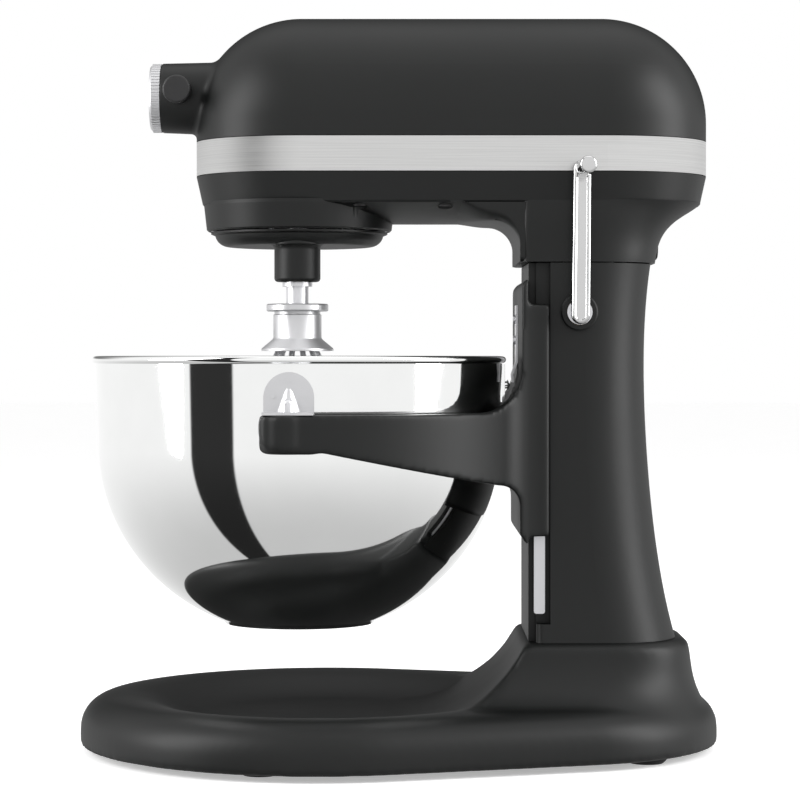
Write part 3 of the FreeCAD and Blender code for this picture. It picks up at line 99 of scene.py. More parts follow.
# Section of the boss round the lever's shaft: radius and place out from the column's wall, in millimetres.
BOSS_SECTION = ((7.3, -0.4), (10.4, -0.4), (10.4, 2.7), (9.6, 3.5), (7.3, 3.5))

SLOT_MATERIALS = {
    "paint": "charcoal_paint",
    "band": "brushed_band",
    "chrome": "chrome_plate",
    "polished_steel": "mirror_steel",
    "bright_steel": "bright_steel",
    "satin_alloy": "satin_alloy",
    "alloy": "cast_alloy",
    "gear_steel": "machined_steel",
    "lamination": "core_plate",
    # Fasteners get painted shade: near-black steel, so the bolts seen through the seam under the head read as
    # a dark shadow line
    "fastener": "seam_shade_dark_steel",
    "copper": "copper",
    "bronze": "bearing_bronze",
    "rubber": "black_rubber",
    "plastic": "black_plastic",
    "board": "circuit_board",
    "carbon": "brush_carbon",
}


class MixerFinishes(bpy.types.PropertyGroup):
    """Colours and gloss of the mixer's finishes."""

    paint: bpy.props.FloatVectorProperty(
        name="Paint", description="Matte charcoal paint of the castings",
        subtype="COLOR", size=3, min=0, max=1, default=(0.0050, 0.0055, 0.0053))
    paint_gloss: bpy.props.FloatProperty(
        name="Paint roughness", description="Roughness of the paint",
        subtype="FACTOR", min=0, max=1, default=0.46)
    band: bpy.props.FloatVectorProperty(
        name="Band", description="Brushed trim band",
        subtype="COLOR", size=3, min=0, max=1, default=(0.67, 0.67, 0.665))
    steel: bpy.props.FloatVectorProperty(
        name="Polished steel", description="Mirror-polished bowl",
        subtype="COLOR", size=3, min=0, max=1, default=(0.88, 0.885, 0.88))
    chrome: bpy.props.FloatVectorProperty(
        name="Chrome", description="Lift lever",
        subtype="COLOR", size=3, min=0, max=1, default=(0.6, 0.6, 0.6))
    wire: bpy.props.FloatVectorProperty(
        name="Bright steel", description="Whisk wires, shafts, rails and pins",
        subtype="COLOR", size=3, min=0, max=1, default=(0.66, 0.66, 0.665))
    alloy: bpy.props.FloatVectorProperty(
        name="Satin alloy", description="Turned whisk hub, hub cap and bowl brackets",
        subtype="COLOR", size=3, min=0, max=1, default=(0.5, 0.5, 0.5))
    plastic: bpy.props.FloatVectorProperty(
        name="Black plastic", description="Knobs and slider",
        subtype="COLOR", size=3, min=0, max=1, default=(0.012, 0.012, 0.0125))


class MixerSizes(bpy.types.PropertyGroup):
    """Sizes of the pieces that are remade for their looks."""

    bowl_wall: bpy.props.FloatProperty(
        name="Bowl wall", description="Thickness of the bowl's sheet", unit="LENGTH", default=1.2 * MM)
    bowl_foot: bpy.props.FloatProperty(
        name="Bowl foot radius", description="Radius of the bowl's flat foot",
        unit="LENGTH", default=44 * MM)
    bowl_shoulder: bpy.props.FloatProperty(
        name="Bowl shoulder", description="Height where the bowl's side turns into its round bottom",
        unit="LENGTH", default=176 * MM)
    bowl_side: bpy.props.FloatProperty(
        name="Bowl side radius", description="Radius at the shoulder", unit="LENGTH", default=116 * MM)
    bowl_depth: bpy.props.FloatProperty(
        name="Bowl round depth", description="Depth of the round bottom below the shoulder",
        unit="LENGTH", default=110.5 * MM)
    rim: bpy.props.FloatProperty(
        name="Rim bead", description="Radius of the rolled rim", unit="LENGTH", default=2.2 * MM)
    rim_drop: bpy.props.FloatProperty(
        name="Rim drop", description="How far the bead's top lies below the solid's",
        unit="LENGTH", default=1.2 * MM)
    rim_overhang: bpy.props.FloatProperty(
        name="Rim overhang", description="From the wall to the solid's widest point",
        unit="LENGTH", default=2.8 * MM)
    lever_half: bpy.props.FloatProperty(
        name="Lever half width", description="Half the width of the lever's bar",
        unit="LENGTH", default=5.0 * MM)
    lever_edge: bpy.props.FloatProperty(
        name="Lever edge", description="Rounding of the bar's edges", unit="LENGTH", default=1.5 * MM)
    lever_panel: bpy.props.FloatProperty(
        name="Lever panel", description="Depth of the sunk panel", unit="LENGTH", default=0.9 * MM)
    grip: bpy.props.FloatProperty(
        name="Grip radius", description="Radius of the lever's grip", unit="LENGTH", default=4.7 * MM)
    tip: bpy.props.FloatProperty(
        name="Arm tip", description="Radius of the round end of each yoke arm",
        unit="LENGTH", default=13.8 * MM)
    neck_half: bpy.props.FloatProperty(
        name="Neck half width", description="Half the width of the neck under the head",
        unit="LENGTH", default=52.7 * MM)
    throat: bpy.props.FloatProperty(
        name="Throat radius", description="Hollow round between the belly and the neck",
        unit="LENGTH", default=15.1 * MM)
    head_end: bpy.props.FloatProperty(
        name="Head end radius", description="Radius of the head's round ends and of its top",
        unit="LENGTH", default=61 * MM)
    head_wall: bpy.props.FloatProperty(
        name="Head wall", description="Thickness of the head's top housing",
        unit="LENGTH", default=4 * MM)
    band_seat: bpy.props.FloatProperty(
        name="Band seat", description="Step of the housing behind the trim band",
        unit="LENGTH", default=2.2 * MM)
    snout: bpy.props.FloatProperty(
        name="Snout radius", description="Radius of the attachment hub's snout",
        unit="LENGTH", default=20 * MM)
    snout_root: bpy.props.FloatProperty(
        name="Snout root", description="Hollow round from the snout into the head",
        unit="LENGTH", default=4 * MM)
    hub_bore: bpy.props.FloatProperty(
        name="Hub bore", description="Radius of the attachment socket", unit="LENGTH", default=12.7 * MM)
    casting_grid: bpy.props.FloatProperty(
        name="Casting grid", description="Grid of the base's softened skin",
        unit="LENGTH", default=2.2 * MM)
    casting_soft: bpy.props.IntProperty(
        name="Casting softness", description="Smoothing rounds of that skin", default=9, min=0)
    yoke_grid: bpy.props.FloatProperty(
        name="Yoke grid", description="Grid of the yoke's softened skin",
        unit="LENGTH", default=1.3 * MM)
    yoke_soft: bpy.props.IntProperty(
        name="Yoke softness", description="Smoothing rounds of that skin", default=8, min=0)


class MixerStudio(bpy.types.PropertyGroup):
    """Camera and light."""

    camera_place: bpy.props.FloatVectorProperty(
        name="Camera", description="Place of the camera",
        subtype="TRANSLATION", unit="LENGTH", size=3, default=(1.540, 0.0006, 0.2256))
    camera_tilt: bpy.props.FloatProperty(
        name="Tilt", description="How far the camera looks down",
        subtype="ANGLE", default=math.radians(0.906))
    lens: bpy.props.FloatProperty(name="Lens", description="Focal length in millimetres", default=119.5)
    world_light: bpy.props.FloatProperty(
        name="Room light", description="Strength of the even white room", default=0.62)
    side_light: bpy.props.FloatProperty(
        name="Side softboxes", description="Brightness of each side softbox", default=8.0)
    top_light: bpy.props.FloatProperty(
        name="Top softbox", description="Brightness of the overhead softbox", default=0.6)
    gap_from: bpy.props.FloatProperty(
        name="Gap start", description="Where the dark gap between the white walls starts",
        subtype="ANGLE", default=math.radians(35))
    gap_to: bpy.props.FloatProperty(
        name="Gap end", description="Where the dark gap between the white walls ends",
        subtype="ANGLE", default=math.radians(61))


class Finish:
    """One node material on the principled shader, with patterns on Object coordinates."""

    def __init__(self, name):
        self.material = bpy.data.materials.new(name)
        self.material.use_nodes = True
        self.tree = self.material.node_tree
        self.shader = self.tree.nodes["Principled BSDF"]
        self.coords = self.tree.nodes.new("ShaderNodeTexCoord")
        self.normal = None

    def set(self, **values):
        """Set plain values on the shader's own sockets."""
        for name, value in values.items():
            self.shader.inputs[name.replace("_", " ")].default_value = value
        return self

    def noise(self, scale, detail=2.0, stretch=(1, 1, 1)):
        """Noise in the object's own space, drawn out by a stretch."""
        mapping = self.tree.nodes.new("ShaderNodeMapping")
        mapping.inputs["Scale"].default_value = stretch
        noise = self.tree.nodes.new("ShaderNodeTexNoise")
        noise.inputs["Scale"].default_value = scale
        noise.inputs["Detail"].default_value = detail
        self.tree.links.new(self.coords.outputs["Object"], mapping.inputs["Vector"])
        self.tree.links.new(mapping.outputs["Vector"], noise.inputs["Vector"])
        return noise.outputs["Fac"]

    def colour(self, source, colour, spread):
        """Base colour that wanders by a share of itself."""
        ramp = self.tree.nodes.new("ShaderNodeValToRGB")
        ramp.color_ramp.elements[0].position = NOISE_LOW
        ramp.color_ramp.elements[1].position = NOISE_HIGH
        ramp.color_ramp.elements[0].color = [c * (1 - spread) for c in colour[:3]] + [1]
        ramp.color_ramp.elements[1].color = [min(1, c * (1 + spread)) for c in colour[:3]] + [1]
        self.tree.links.new(source, ramp.inputs["Fac"])
        self.tree.links.new(ramp.outputs["Color"], self.shader.inputs["Base Color"])

    def roughness(self, source, low, high):
        """Roughness that wanders between two values."""
        span = self.tree.nodes.new("ShaderNodeMapRange")
        span.inputs["From Min"].default_value = NOISE_LOW
        span.inputs["From Max"].default_value = NOISE_HIGH
        span.inputs["To Min"].default_value = low
        span.inputs["To Max"].default_value = high
        self.tree.links.new(source, span.inputs["Value"])
        self.tree.links.new(span.outputs["Result"], self.shader.inputs["Roughness"])

    def fade_at_edges(self, level, least):
        """Specular level that falls off where a face is seen edge-on."""
        facing = self.tree.nodes.new("ShaderNodeLayerWeight").outputs["Facing"]
        span = self.tree.nodes.new("ShaderNodeMapRange")
        span.interpolation_type = "SMOOTHSTEP"
        span.inputs["From Min"].default_value = EDGE_FROM
        span.inputs["From Max"].default_value = EDGE_TO
        span.inputs["To Min"].default_value = level
        span.inputs["To Max"].default_value = least
        self.tree.links.new(facing, span.inputs["Value"])
        self.tree.links.new(span.outputs["Result"], self.shader.inputs["Specular IOR Level"])
        return self

    def bump(self, source, strength, height):
        """Fine relief, added to any relief before it."""
        bump = self.tree.nodes.new("ShaderNodeBump")
        bump.inputs["Strength"].default_value = strength
        bump.inputs["Distance"].default_value = height
        self.tree.links.new(source, bump.inputs["Height"])
        if self.normal:
            self.tree.links.new(self.normal, bump.inputs["Normal"])
        self.normal = bump.outputs["Normal"]
        self.tree.links.new(self.normal, self.shader.inputs["Normal"])


def charcoal_paint(looks):
    finish = Finish("charcoal_paint").fade_at_edges(level=0.3, least=0.07)
    grain = finish.noise(scale=1500, detail=2)
    cloud = finish.noise(scale=14, detail=3)
    finish.colour(cloud, looks.paint, spread=0.06)
    finish.roughness(cloud, looks.paint_gloss - 0.02, looks.paint_gloss + 0.03)
    finish.bump(grain, strength=0.1, height=0.1 * MM)


def brushed_band(looks):
    finish = Finish("brushed_band").set(Metallic=1.0, Anisotropic=0.5)
    brush = finish.noise(scale=1, detail=4, stretch=(14, 14, 2600))
    finish.colour(brush, looks.band, spread=0.1)
    finish.roughness(brush, low=0.36, high=0.48)
    finish.bump(brush, strength=0.16, height=0.03 * MM)


def mirror_steel(looks):
    finish = Finish("mirror_steel").set(Metallic=1.0)
    polish = finish.noise(scale=1, detail=3, stretch=(9, 9, 1500))
    haze = finish.noise(scale=40, detail=3)
    finish.colour(haze, looks.steel, spread=0.012)
    finish.roughness(polish, low=0.03, high=0.06)


def chrome_plate(looks):
    finish = Finish("chrome_plate").set(Metallic=1.0)
    haze = finish.noise(scale=60, detail=3)
    finish.colour(haze, looks.chrome, spread=0.02)
    finish.roughness(haze, low=0.09, high=0.14)


def bright_steel(looks):
    finish = Finish("bright_steel").set(Metallic=1.0)
    drawn = finish.noise(scale=1, detail=3, stretch=(500, 500, 60))
    finish.colour(drawn, looks.wire, spread=0.06)
    finish.roughness(drawn, low=0.16, high=0.26)


def satin_alloy(looks):
    finish = Finish("satin_alloy").set(Metallic=1.0)
    turned = finish.noise(scale=1, detail=3, stretch=(30, 30, 2200))
    finish.colour(turned, looks.alloy, spread=0.08)
    finish.roughness(turned, low=0.26, high=0.36)
    finish.bump(turned, strength=0.12, height=0.03 * MM)


def black_plastic(looks):
    finish = Finish("black_plastic").set(Specular_IOR_Level=0.4)
    grain = finish.noise(scale=1800, detail=2)
    finish.colour(finish.noise(scale=30, detail=2), looks.plastic, spread=0.1)
    finish.roughness(grain, low=0.38, high=0.48)
    finish.bump(grain, strength=0.08, height=0.08 * MM)


def black_rubber():
    finish = Finish("black_rubber").set(Specular_IOR_Level=0.3)
    grain = finish.noise(scale=900, detail=3)
    finish.colour(grain, (0.014, 0.014, 0.014), spread=0.15)
    finish.roughness(grain, low=0.7, high=0.85)
    finish.bump(grain, strength=0.2, height=0.1 * MM)


def inner_finish(name, colour, roughness, metallic=1.0):
    """Plain shop finish of an inner piece, a metal unless it says otherwise."""
    finish = Finish(name).set(Metallic=metallic)
    grain = finish.noise(scale=700, detail=3)
    finish.colour(grain, colour, spread=0.12)
    finish.roughness(grain, roughness - 0.05, roughness + 0.07)
    finish.bump(grain, strength=0.08, height=0.05 * MM)


def finish_of(slot):
    """The material made for one of the record's slots."""
    return bpy.data.materials[SLOT_MATERIALS[slot]]


def coat(name, slot):
    """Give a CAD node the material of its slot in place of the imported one."""
    mesh = NODES[name].data
    mesh.materials.clear()
    mesh.materials.append(finish_of(slot))


def add_piece(name, bm, slot, body, replaced=()):
    """Turn a finished bmesh into a smooth piece that rides on a body."""
    bmesh.ops.remove_doubles(bm, verts=bm.verts, dist=0.001 * MM)
    bmesh.ops.recalc_face_normals(bm, faces=bm.faces)
    mesh = bpy.data.meshes.new(name)
    bm.to_mesh(mesh)
    bm.free()
    mesh.materials.append(finish_of(slot))
    mesh.shade_smooth()
    mesh.set_sharp_from_angle(angle=SHARP_ANGLE)
    piece = bpy.data.objects.new(name, mesh)
    bpy.context.scene.collection.objects.link(piece)
    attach(piece, body)
    if replaced:
        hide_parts(*replaced)
    return piece


def chain(bm, points, closed=False):
    """Chain of edges through points."""
    verts = [bm.verts.new(p) for p in points]
    ends = verts[1:] + verts[:1] if closed else verts[1:]
    edges = [bm.edges.new(pair) for pair in zip(verts, ends)]
    return verts + edges


def spin_upright(bm, profile, x, y, steps=96):
    """Turn a profile of (radius, height) about an upright axis."""
    geom = chain(bm, [(x + r, y, z) for r, z in profile])
    bmesh.ops.spin(bm, geom=geom, cent=(x, y, 0), axis=(0, 0, 1), angle=math.tau, steps=steps, use_merge=True)


def spin_across(bm, profile, y, z, closed=False, steps=64):
    """Turn a profile of (radius, place along X) about an axis that runs across the mixer."""
    geom = chain(bm, [(x, y + r, z) for r, x in profile], closed)
    bmesh.ops.spin(bm, geom=geom, cent=(0, y, z), axis=(1, 0, 0), angle=math.tau, steps=steps, use_merge=True)


def rim_edges(bm, along, at):
    """Edges that lie in the plane at a place along one axis."""
    return [e for e in bm.edges if all(abs(v.co[along] - at) < 0.01 * MM for v in e.verts)]


def round_edges(bm, edges, size, segments=3):
    bmesh.ops.bevel(bm, geom=edges, offset=size, segments=segments, profile=0.5, affect="EDGES", material=-1)


def soften(piece, grid_size, rounds):
    """Remake a piece on an even grid and smooth it, so that its edges look cast."""
    grid = piece.modifiers.new("grid", "REMESH")
    grid.mode = "VOXEL"
    grid.voxel_size = grid_size
    grid.use_smooth_shade = True
    soft = piece.modifiers.new("soft", "SMOOTH")
    soft.factor = 0.5
    soft.iterations = rounds


def arc(centre, radius, start, end, steps):
    """Points of a flat arc, in degrees."""
    turns = [math.radians(start + (end - start) * i / steps) for i in range(steps + 1)]
    return [(centre[0] + radius * math.cos(t), centre[1] + radius * math.sin(t)) for t in turns]


class MIXER_OT_finishes(bpy.types.Operator):
    """Make every finish and give it to the CAD nodes by their slot"""
    bl_idname = "mixer.finishes"
    bl_label = "Finishes"

    def execute(self, context):
        looks = context.scene.mixer_finishes
        charcoal_paint(looks)
        brushed_band(looks)
        mirror_steel(looks)
        chrome_plate(looks)
        bright_steel(looks)
        satin_alloy(looks)
        black_plastic(looks)
        black_rubber()
        inner_finish("cast_alloy", (0.5, 0.5, 0.51), 0.5)
        inner_finish("machined_steel", (0.42, 0.42, 0.43), 0.32)
        inner_finish("core_plate", (0.2, 0.2, 0.21), 0.5)
        # Near-black fastener steel is painted shade for the bolts seen through the seam under the head
        inner_finish("seam_shade_dark_steel", (0.03, 0.03, 0.03), 0.5)
        inner_finish("copper", (0.62, 0.3, 0.16), 0.35)
        inner_finish("bearing_bronze", (0.55, 0.4, 0.2), 0.4)
        inner_finish("circuit_board", (0.02, 0.12, 0.05), 0.45, metallic=0.0)
        inner_finish("brush_carbon", (0.03, 0.03, 0.03), 0.6, metallic=0.0)
        for part in frame["record"]["subparts"]:
            coat(part["node"], part["material_slot"])
        return {"FINISHED"}


class MIXER_OT_bowl(bpy.types.Operator):
    """Spin the polished bowl with its rolled rim"""
    bl_idname = "mixer.bowl"
    bl_label = "Bowl"

    def execute(self, context):
        sizes = context.scene.mixer_sizes
        wall_r = (BOWL_HIGH.x - BOWL_LOW.x) / 2 - sizes.rim_overhang
        rim_z = BOWL_HIGH.z - sizes.rim_drop - sizes.rim
        floor, foot, steps = BOWL_LOW.z, sizes.bowl_foot, 40

        def round_bottom(inset):
            side = sizes.bowl_side - inset
            depth = sizes.bowl_depth - inset
            start = math.acos(foot / side)
            turns = [start * (1 - i / steps) for i in range(steps + 1)]
            return [(side * math.cos(t), sizes.bowl_shoulder - depth * math.sin(t)) for t in turns]

        outside = [(0, floor), (foot - 3 * MM, floor), (foot - 1 * MM, floor + 0.3 * MM)]
        outside += round_bottom(0)
        outside += [(wall_r, rim_z - sizes.rim)]
        bead = arc((wall_r, rim_z), sizes.rim, -80, 178, 16)
        inside = [(wall_r - sizes.bowl_wall, rim_z - sizes.rim)]
        inside += list(reversed(round_bottom(sizes.bowl_wall)))
        inside += [(foot - 1 * MM, floor + 1.5 * MM), (0, floor + sizes.bowl_wall)]
        bm = bmesh.new()
        spin_upright(bm, outside + bead + inside, 0, BOWL_MIDDLE.y, steps=192)
        add_piece("bowl_shell", bm, "polished_steel", "lift", ("bowl",))
        return {"FINISHED"}


class MIXER_OT_whisk_hub(bpy.types.Operator):
    """Turn the whisk's satin hub: flange, groove, body and skirt"""
    bl_idname = "mixer.whisk_hub"
    bl_label = "Whisk hub"

    def execute(self, context):
        profile = [(r * MM, HUB_LOW.z + z * MM) for r, z in HUB_SECTION]
        bm = bmesh.new()
        spin_upright(bm, profile, HUB_MIDDLE.x, HUB_MIDDLE.y)
        add_piece("whisk_hub_turned", bm, "satin_alloy", "beater", ("whisk_hub",))
        return {"FINISHED"}


class MIXER_OT_lever(bpy.types.Operator):
    """Make the lift lever with rounded edges and a sunk panel, and its round grip"""
    bl_idname = "mixer.lever"
    bl_label = "Lift lever"

    def execute(self, context):
        sizes = context.scene.mixer_sizes
        half = sizes.lever_half
        bar_depth, foot_drop, lean = 8.5 * MM, 1.6 * MM, 1.0 * MM
        inner, outer = LEVER_LOW.x, LEVER_LOW.x + bar_depth
        grip_y, grip_z = PIVOT.y + 1.8 * MM, PIVOT.z + 79.3 * MM
        foot, head = (PIVOT.y, PIVOT.z - foot_drop), (grip_y - lean, grip_z)
        bm = bmesh.new()
        rim = arc(foot, half + 0.2 * MM, 180, 360, 24) + arc(head, half, 0, 180, 24)
        face = bm.faces.new([bm.verts.new((inner, y, z)) for y, z in rim])
        raised = bmesh.ops.extrude_face_region(bm, geom=[face])["geom"]
        verts = [v for v in raised if isinstance(v, bmesh.types.BMVert)]
        bmesh.ops.translate(bm, verts=verts, vec=(outer - inner, 0, 0))
        round_edges(bm, rim_edges(bm, ALONG_X, outer), sizes.lever_edge, segments=4)
        top = max(bm.faces, key=lambda f: f.calc_center_median().x)
        bmesh.ops.inset_region(bm, faces=[top], thickness=0.35 * MM, use_even_offset=True)
        sunk = -sizes.lever_panel
        bmesh.ops.inset_region(bm, faces=[top], thickness=0.7 * MM, depth=sunk, use_even_offset=True)
        add_piece("lever_bar", bm, "chrome", "lever", ("lift_lever",))
        bm = bmesh.new()
        start, end, edge = inner + 1 * MM, LEVER_HIGH.x, 1.4 * MM
        profile = [(0, start), (sizes.grip, start)]
        profile += [(r, x) for x, r in arc((end - edge, sizes.grip - edge), edge, 90, 0, 6)]
        profile += [(0, end)]
        spin_across(bm, profile, grip_y, grip_z)
        add_piece("lever_grip", bm, "chrome", "lever", ("lift_lever",))
        return {"FINISHED"}


class MIXER_OT_column_trim(bpy.types.Operator):
    """Set the painted boss round the lever's shaft and the bright strips that the yoke runs on"""
    bl_idname = "mixer.column_trim"
    bl_label = "Column trim"

    def execute(self, context):
        wall = LEVER_LOW.x - 7 * MM
        bm = bmesh.new()
        ring = [(r * MM, wall + x * MM) for r, x in BOSS_SECTION]
        spin_across(bm, ring, PIVOT.y, PIVOT.z, closed=True)
        add_piece("lever_boss", bm, "paint", "stand")
        bm = bmesh.new()
        inner, outer, height = 47 * MM, RAIL_HIGH.x, 172 * MM
        middle_y, middle_z = (RAIL_LOW.y + RAIL_HIGH.y) / 2 + 0.5 * MM, RAIL_LOW.z + height / 2
        for side in (-1, 1):
            strip = bmesh.ops.create_cube(bm, size=1)["verts"]
            bmesh.ops.scale(bm, verts=strip, vec=(outer - inner, RAIL_HIGH.y - RAIL_LOW.y, height))
            bmesh.ops.translate(bm, verts=strip, vec=(side * (inner + outer) / 2, middle_y, middle_z))
        across = [e for e in bm.edges if abs(e.verts[0].co.x - e.verts[1].co.x) > 1 * MM]
        round_edges(bm, across, size=1.4 * MM)
        add_piece("guide_strips", bm, "bright_steel", "stand", ("guide_rails",))
        return {"FINISHED"}


class MIXER_OT_yoke(bpy.types.Operator):
    """Round off the ends of the yoke's arms and soften the whole casting"""
    bl_idname = "mixer.yoke"
    bl_label = "Lift yoke"

    def execute(self, context):
        sizes = context.scene.mixer_sizes
        low, high, seam_x = 174.3 * MM, 195.2 * MM, 122.6 * MM
        place = (CAD_BOX[1].x - sizes.tip, YOKE_LOW.y + sizes.tip + 0.1 * MM, (low + high) / 2)
        bm = bmesh.new()
        bmesh.ops.create_cone(
            bm, cap_ends=True, segments=72, radius1=sizes.tip, radius2=sizes.tip, depth=high - low)
        bmesh.ops.translate(bm, verts=bm.verts, vec=place)
        round_edges(bm, rim_edges(bm, ALONG_Z, low), size=4 * MM, segments=5)
        round_edges(bm, rim_edges(bm, ALONG_Z, high), size=1.6 * MM, segments=4)
        cut = bmesh.ops.bisect_plane(
            bm, geom=bm.verts[:] + bm.edges[:] + bm.faces[:], plane_co=(seam_x, 0, 0), plane_no=(1, 0, 0),
            clear_inner=True)
        seam = [e for e in cut["geom_cut"] if isinstance(e, bmesh.types.BMEdge)]
        bmesh.ops.edgeloop_fill(bm, edges=seam)
        bmesh.ops.mirror(bm, geom=bm.verts[:] + bm.edges[:] + bm.faces[:], axis="X", merge_dist=-1)
        bm.from_mesh(NODES["lift_yoke"].data)
        skin = add_piece("yoke_skin", bm, "paint", "lift", ("lift_yoke",))
        soften(skin, sizes.yoke_grid, sizes.yoke_soft)
        return {"FINISHED"}


class MIXER_OT_head_top(bpy.types.Operator):
    """Loft the head's round top and the attachment hub's snout with a soft root"""
    bl_idname = "mixer.head_top"
    bl_label = "Head top"

    def execute(self, context):
        sizes = context.scene.mixer_sizes
        self.end = sizes.head_end
        self.squeeze = BAND_HIGH.x / self.end
        self.front = BAND_LOW.y + self.end
        self.rear = BAND_HIGH.y - self.end
        self.shoulder = TOP_HIGH.z - self.end
        self.axis_z = (CAP_LOW.z + CAP_HIGH.z) / 2
        self.dome(sizes)
        self.snout(sizes)
        return {"FINISHED"}

    def outline(self, bm, radius, z):
        """Closed loop round the head at one height."""
        points = arc((0, self.front), radius, 180, 360, 72) + arc((0, self.rear), radius, 0, 180, 72)
        geom = chain(bm, [(x * self.squeeze, y, z) for x, y in points], closed=True)
        return geom[len(points):]

    def dome(self, sizes):
        bm = bmesh.new()
        step = BAND_HIGH.z + 0.4 * MM
        skins = []
        for inset, lip in ((0, step), (sizes.head_wall, step + sizes.head_wall)):
            radius = self.end - inset
            seat = radius - sizes.band_seat
            profile = [(seat, TOP_LOW.z), (seat, lip), (radius, lip)]
            profile += arc((0, self.shoulder), radius, 0, 89, 36)
            loops = [self.outline(bm, r, z) for r, z in profile]
            for near, far in zip(loops, loops[1:]):
                bmesh.ops.bridge_loops(bm, edges=near + far)
            bmesh.ops.edgeloop_fill(bm, edges=loops[-1])
            skins.append(loops[0])
        bmesh.ops.bridge_loops(bm, edges=skins[0] + skins[1])
        window = [f for f in bm.faces if all(self.in_snout(v.co, sizes) for v in f.verts)]
        bmesh.ops.delete(bm, geom=window, context="FACES")
        bmesh.ops.bridge_loops(bm, edges=[e for e in bm.edges if e.is_boundary])
        add_piece("head_dome", bm, "paint", "stand", ("upper_housing",))

    def in_snout(self, place, sizes):
        return place.y < self.front and math.hypot(place.x, place.z - self.axis_z) < sizes.snout - 1 * MM

    def depth(self, radius, turn):
        """Where the head's front lies at a radius and a turn about the snout's axis."""
        across = radius * math.sin(turn) / self.squeeze
        above = max(self.axis_z + radius * math.cos(turn) - self.shoulder, 0)
        return self.front - math.sqrt(self.end ** 2 - across ** 2 - above ** 2)

    def snout(self, sizes):
        bm = bmesh.new()
        loops = []
        turns, bends = 96, 8
        shares = [i / bends for i in range(bends + 1)]
        lip, seat_r, seat_y = TOP_LOW.y, 12.02 * MM, TOP_LOW.y + 24.9 * MM
        sleeve_r, sleeve_end = 17 * MM, TOP_LOW.y + 46.9 * MM
        rounding, cut = 1 * MM, 0.3 * MM
        root = sizes.snout + 0.6 * MM
        foot = root + sizes.snout_root
        for i in range(turns):
            turn = math.tau * i / turns
            start = Vector((root, self.depth(root, turn) - sizes.snout_root))
            corner = Vector((root, self.depth(root, turn)))
            end = Vector((foot, self.depth(foot, turn)))
            bend = [start * (1 - s) ** 2 + corner * 2 * s * (1 - s) + end * s ** 2 for s in shares]
            profile = [(sizes.hub_bore, lip), (sizes.snout - rounding, lip)]
            profile += [(sizes.snout - cut, lip + cut), (sizes.snout, lip + rounding)]
            profile += [tuple(p) for p in bend]
            profile += [(foot - 1 * MM, end.y + 1.5 * MM), (sleeve_r, corner.y + 6 * MM)]
            profile += [(sleeve_r, sleeve_end), (seat_r, sleeve_end)]
            profile += [(seat_r, seat_y), (sizes.hub_bore, seat_y)]
            points = [(r * math.sin(turn), y, self.axis_z + r * math.cos(turn)) for r, y in profile]
            loops.append(chain(bm, points, closed=True)[len(points):])
        for near, far in zip(loops, loops[1:] + loops[:1]):
            bmesh.ops.bridge_loops(bm, edges=near + far)
        add_piece("hub_snout", bm, "paint", "stand", ("upper_housing",))


class MIXER_OT_throat(bpy.types.Operator):
    """Lead the head's belly through a hollow round down into the neck's front"""
    bl_idname = "mixer.throat"
    bl_label = "Throat"

    def execute(self, context):
        sizes = context.scene.mixer_sizes
        front, belly, edge = 67.9 * MM, 302.9 * MM, 313 * MM
        start, run_in = front - sizes.throat, 24 * MM
        shoulder_wide, shoulder_tall, corner = 10 * MM, 6 * MM, 3 * MM
        lead, steps = 10, 12
        bm = bmesh.new()
        loops = []
        for step in range(lead):
            share = step / lead
            blend = share * share * (3 - 2 * share)
            y = start - run_in * (1 - share)
            low = belly + 0.4 * MM * (1 - blend)
            wide = sizes.neck_half * (1 - blend) + shoulder_wide * blend
            tall = (edge - belly + 1.5 * MM) * (1 - blend) + shoulder_tall * blend
            loops.append(self.section(bm, sizes.neck_half, y, low, wide, tall, edge, blend))
        for step in range(steps + 1):
            share = step / steps
            turn = math.pi / 2 * share
            y = start + sizes.throat * math.sin(turn)
            low = belly - sizes.throat * (1 - math.cos(turn))
            wide = shoulder_wide * (1 - share) + corner * share
            tall = shoulder_tall * (1 - share) + corner * share
            loops.append(self.section(bm, sizes.neck_half, y, low, wide, tall, edge, 1))
        bottom = HOUSING_LOW.z + 0.2 * MM
        for y in (front, front + corner):
            loops.append(self.section(bm, sizes.neck_half, y, bottom, corner, corner, edge, 1))
        for near, far in zip(loops, loops[1:]):
            bmesh.ops.bridge_loops(bm, edges=near + far)
        for loop in (loops[0], loops[-1]):
            bmesh.ops.edgeloop_fill(bm, edges=loop)
        add_piece("throat_round", bm, "paint", "stand")
        return {"FINISHED"}

    def section(self, bm, half, y, low, wide, tall, top, blend):
        """Closed loop of one cross-section, from the belly's arc (blend 0) to rounded corners (blend 1)."""
        turns = [math.pi / 2 * i / 10 for i in range(11)]
        corner = []
        for t in turns:
            rise = math.cos(t) ** 2 * (1 - blend) + (1 - math.sin(t)) * blend
            corner.append((wide * (1 - math.cos(t)) - half, low + tall * rise))
        points = [(-half, top)] + corner + [(-x, z) for x, z in reversed(corner)] + [(half, top)]
        geom = chain(bm, [(x, y, z) for x, z in points], closed=True)
        return geom[len(points):]


class MIXER_OT_base_skin(bpy.types.Operator):
    """Soften the base casting's edges and hollows as on a painted casting"""
    bl_idname = "mixer.base_skin"
    bl_label = "Base skin"

    def execute(self, context):
        sizes = context.scene.mixer_sizes
        bm = bmesh.new()
        bm.from_mesh(NODES["base_casting"].data)
        skin = add_piece("base_skin", bm, "paint", "stand", ("base_casting",))
        soften(skin, sizes.casting_grid, sizes.casting_soft)
        return {"FINISHED"}


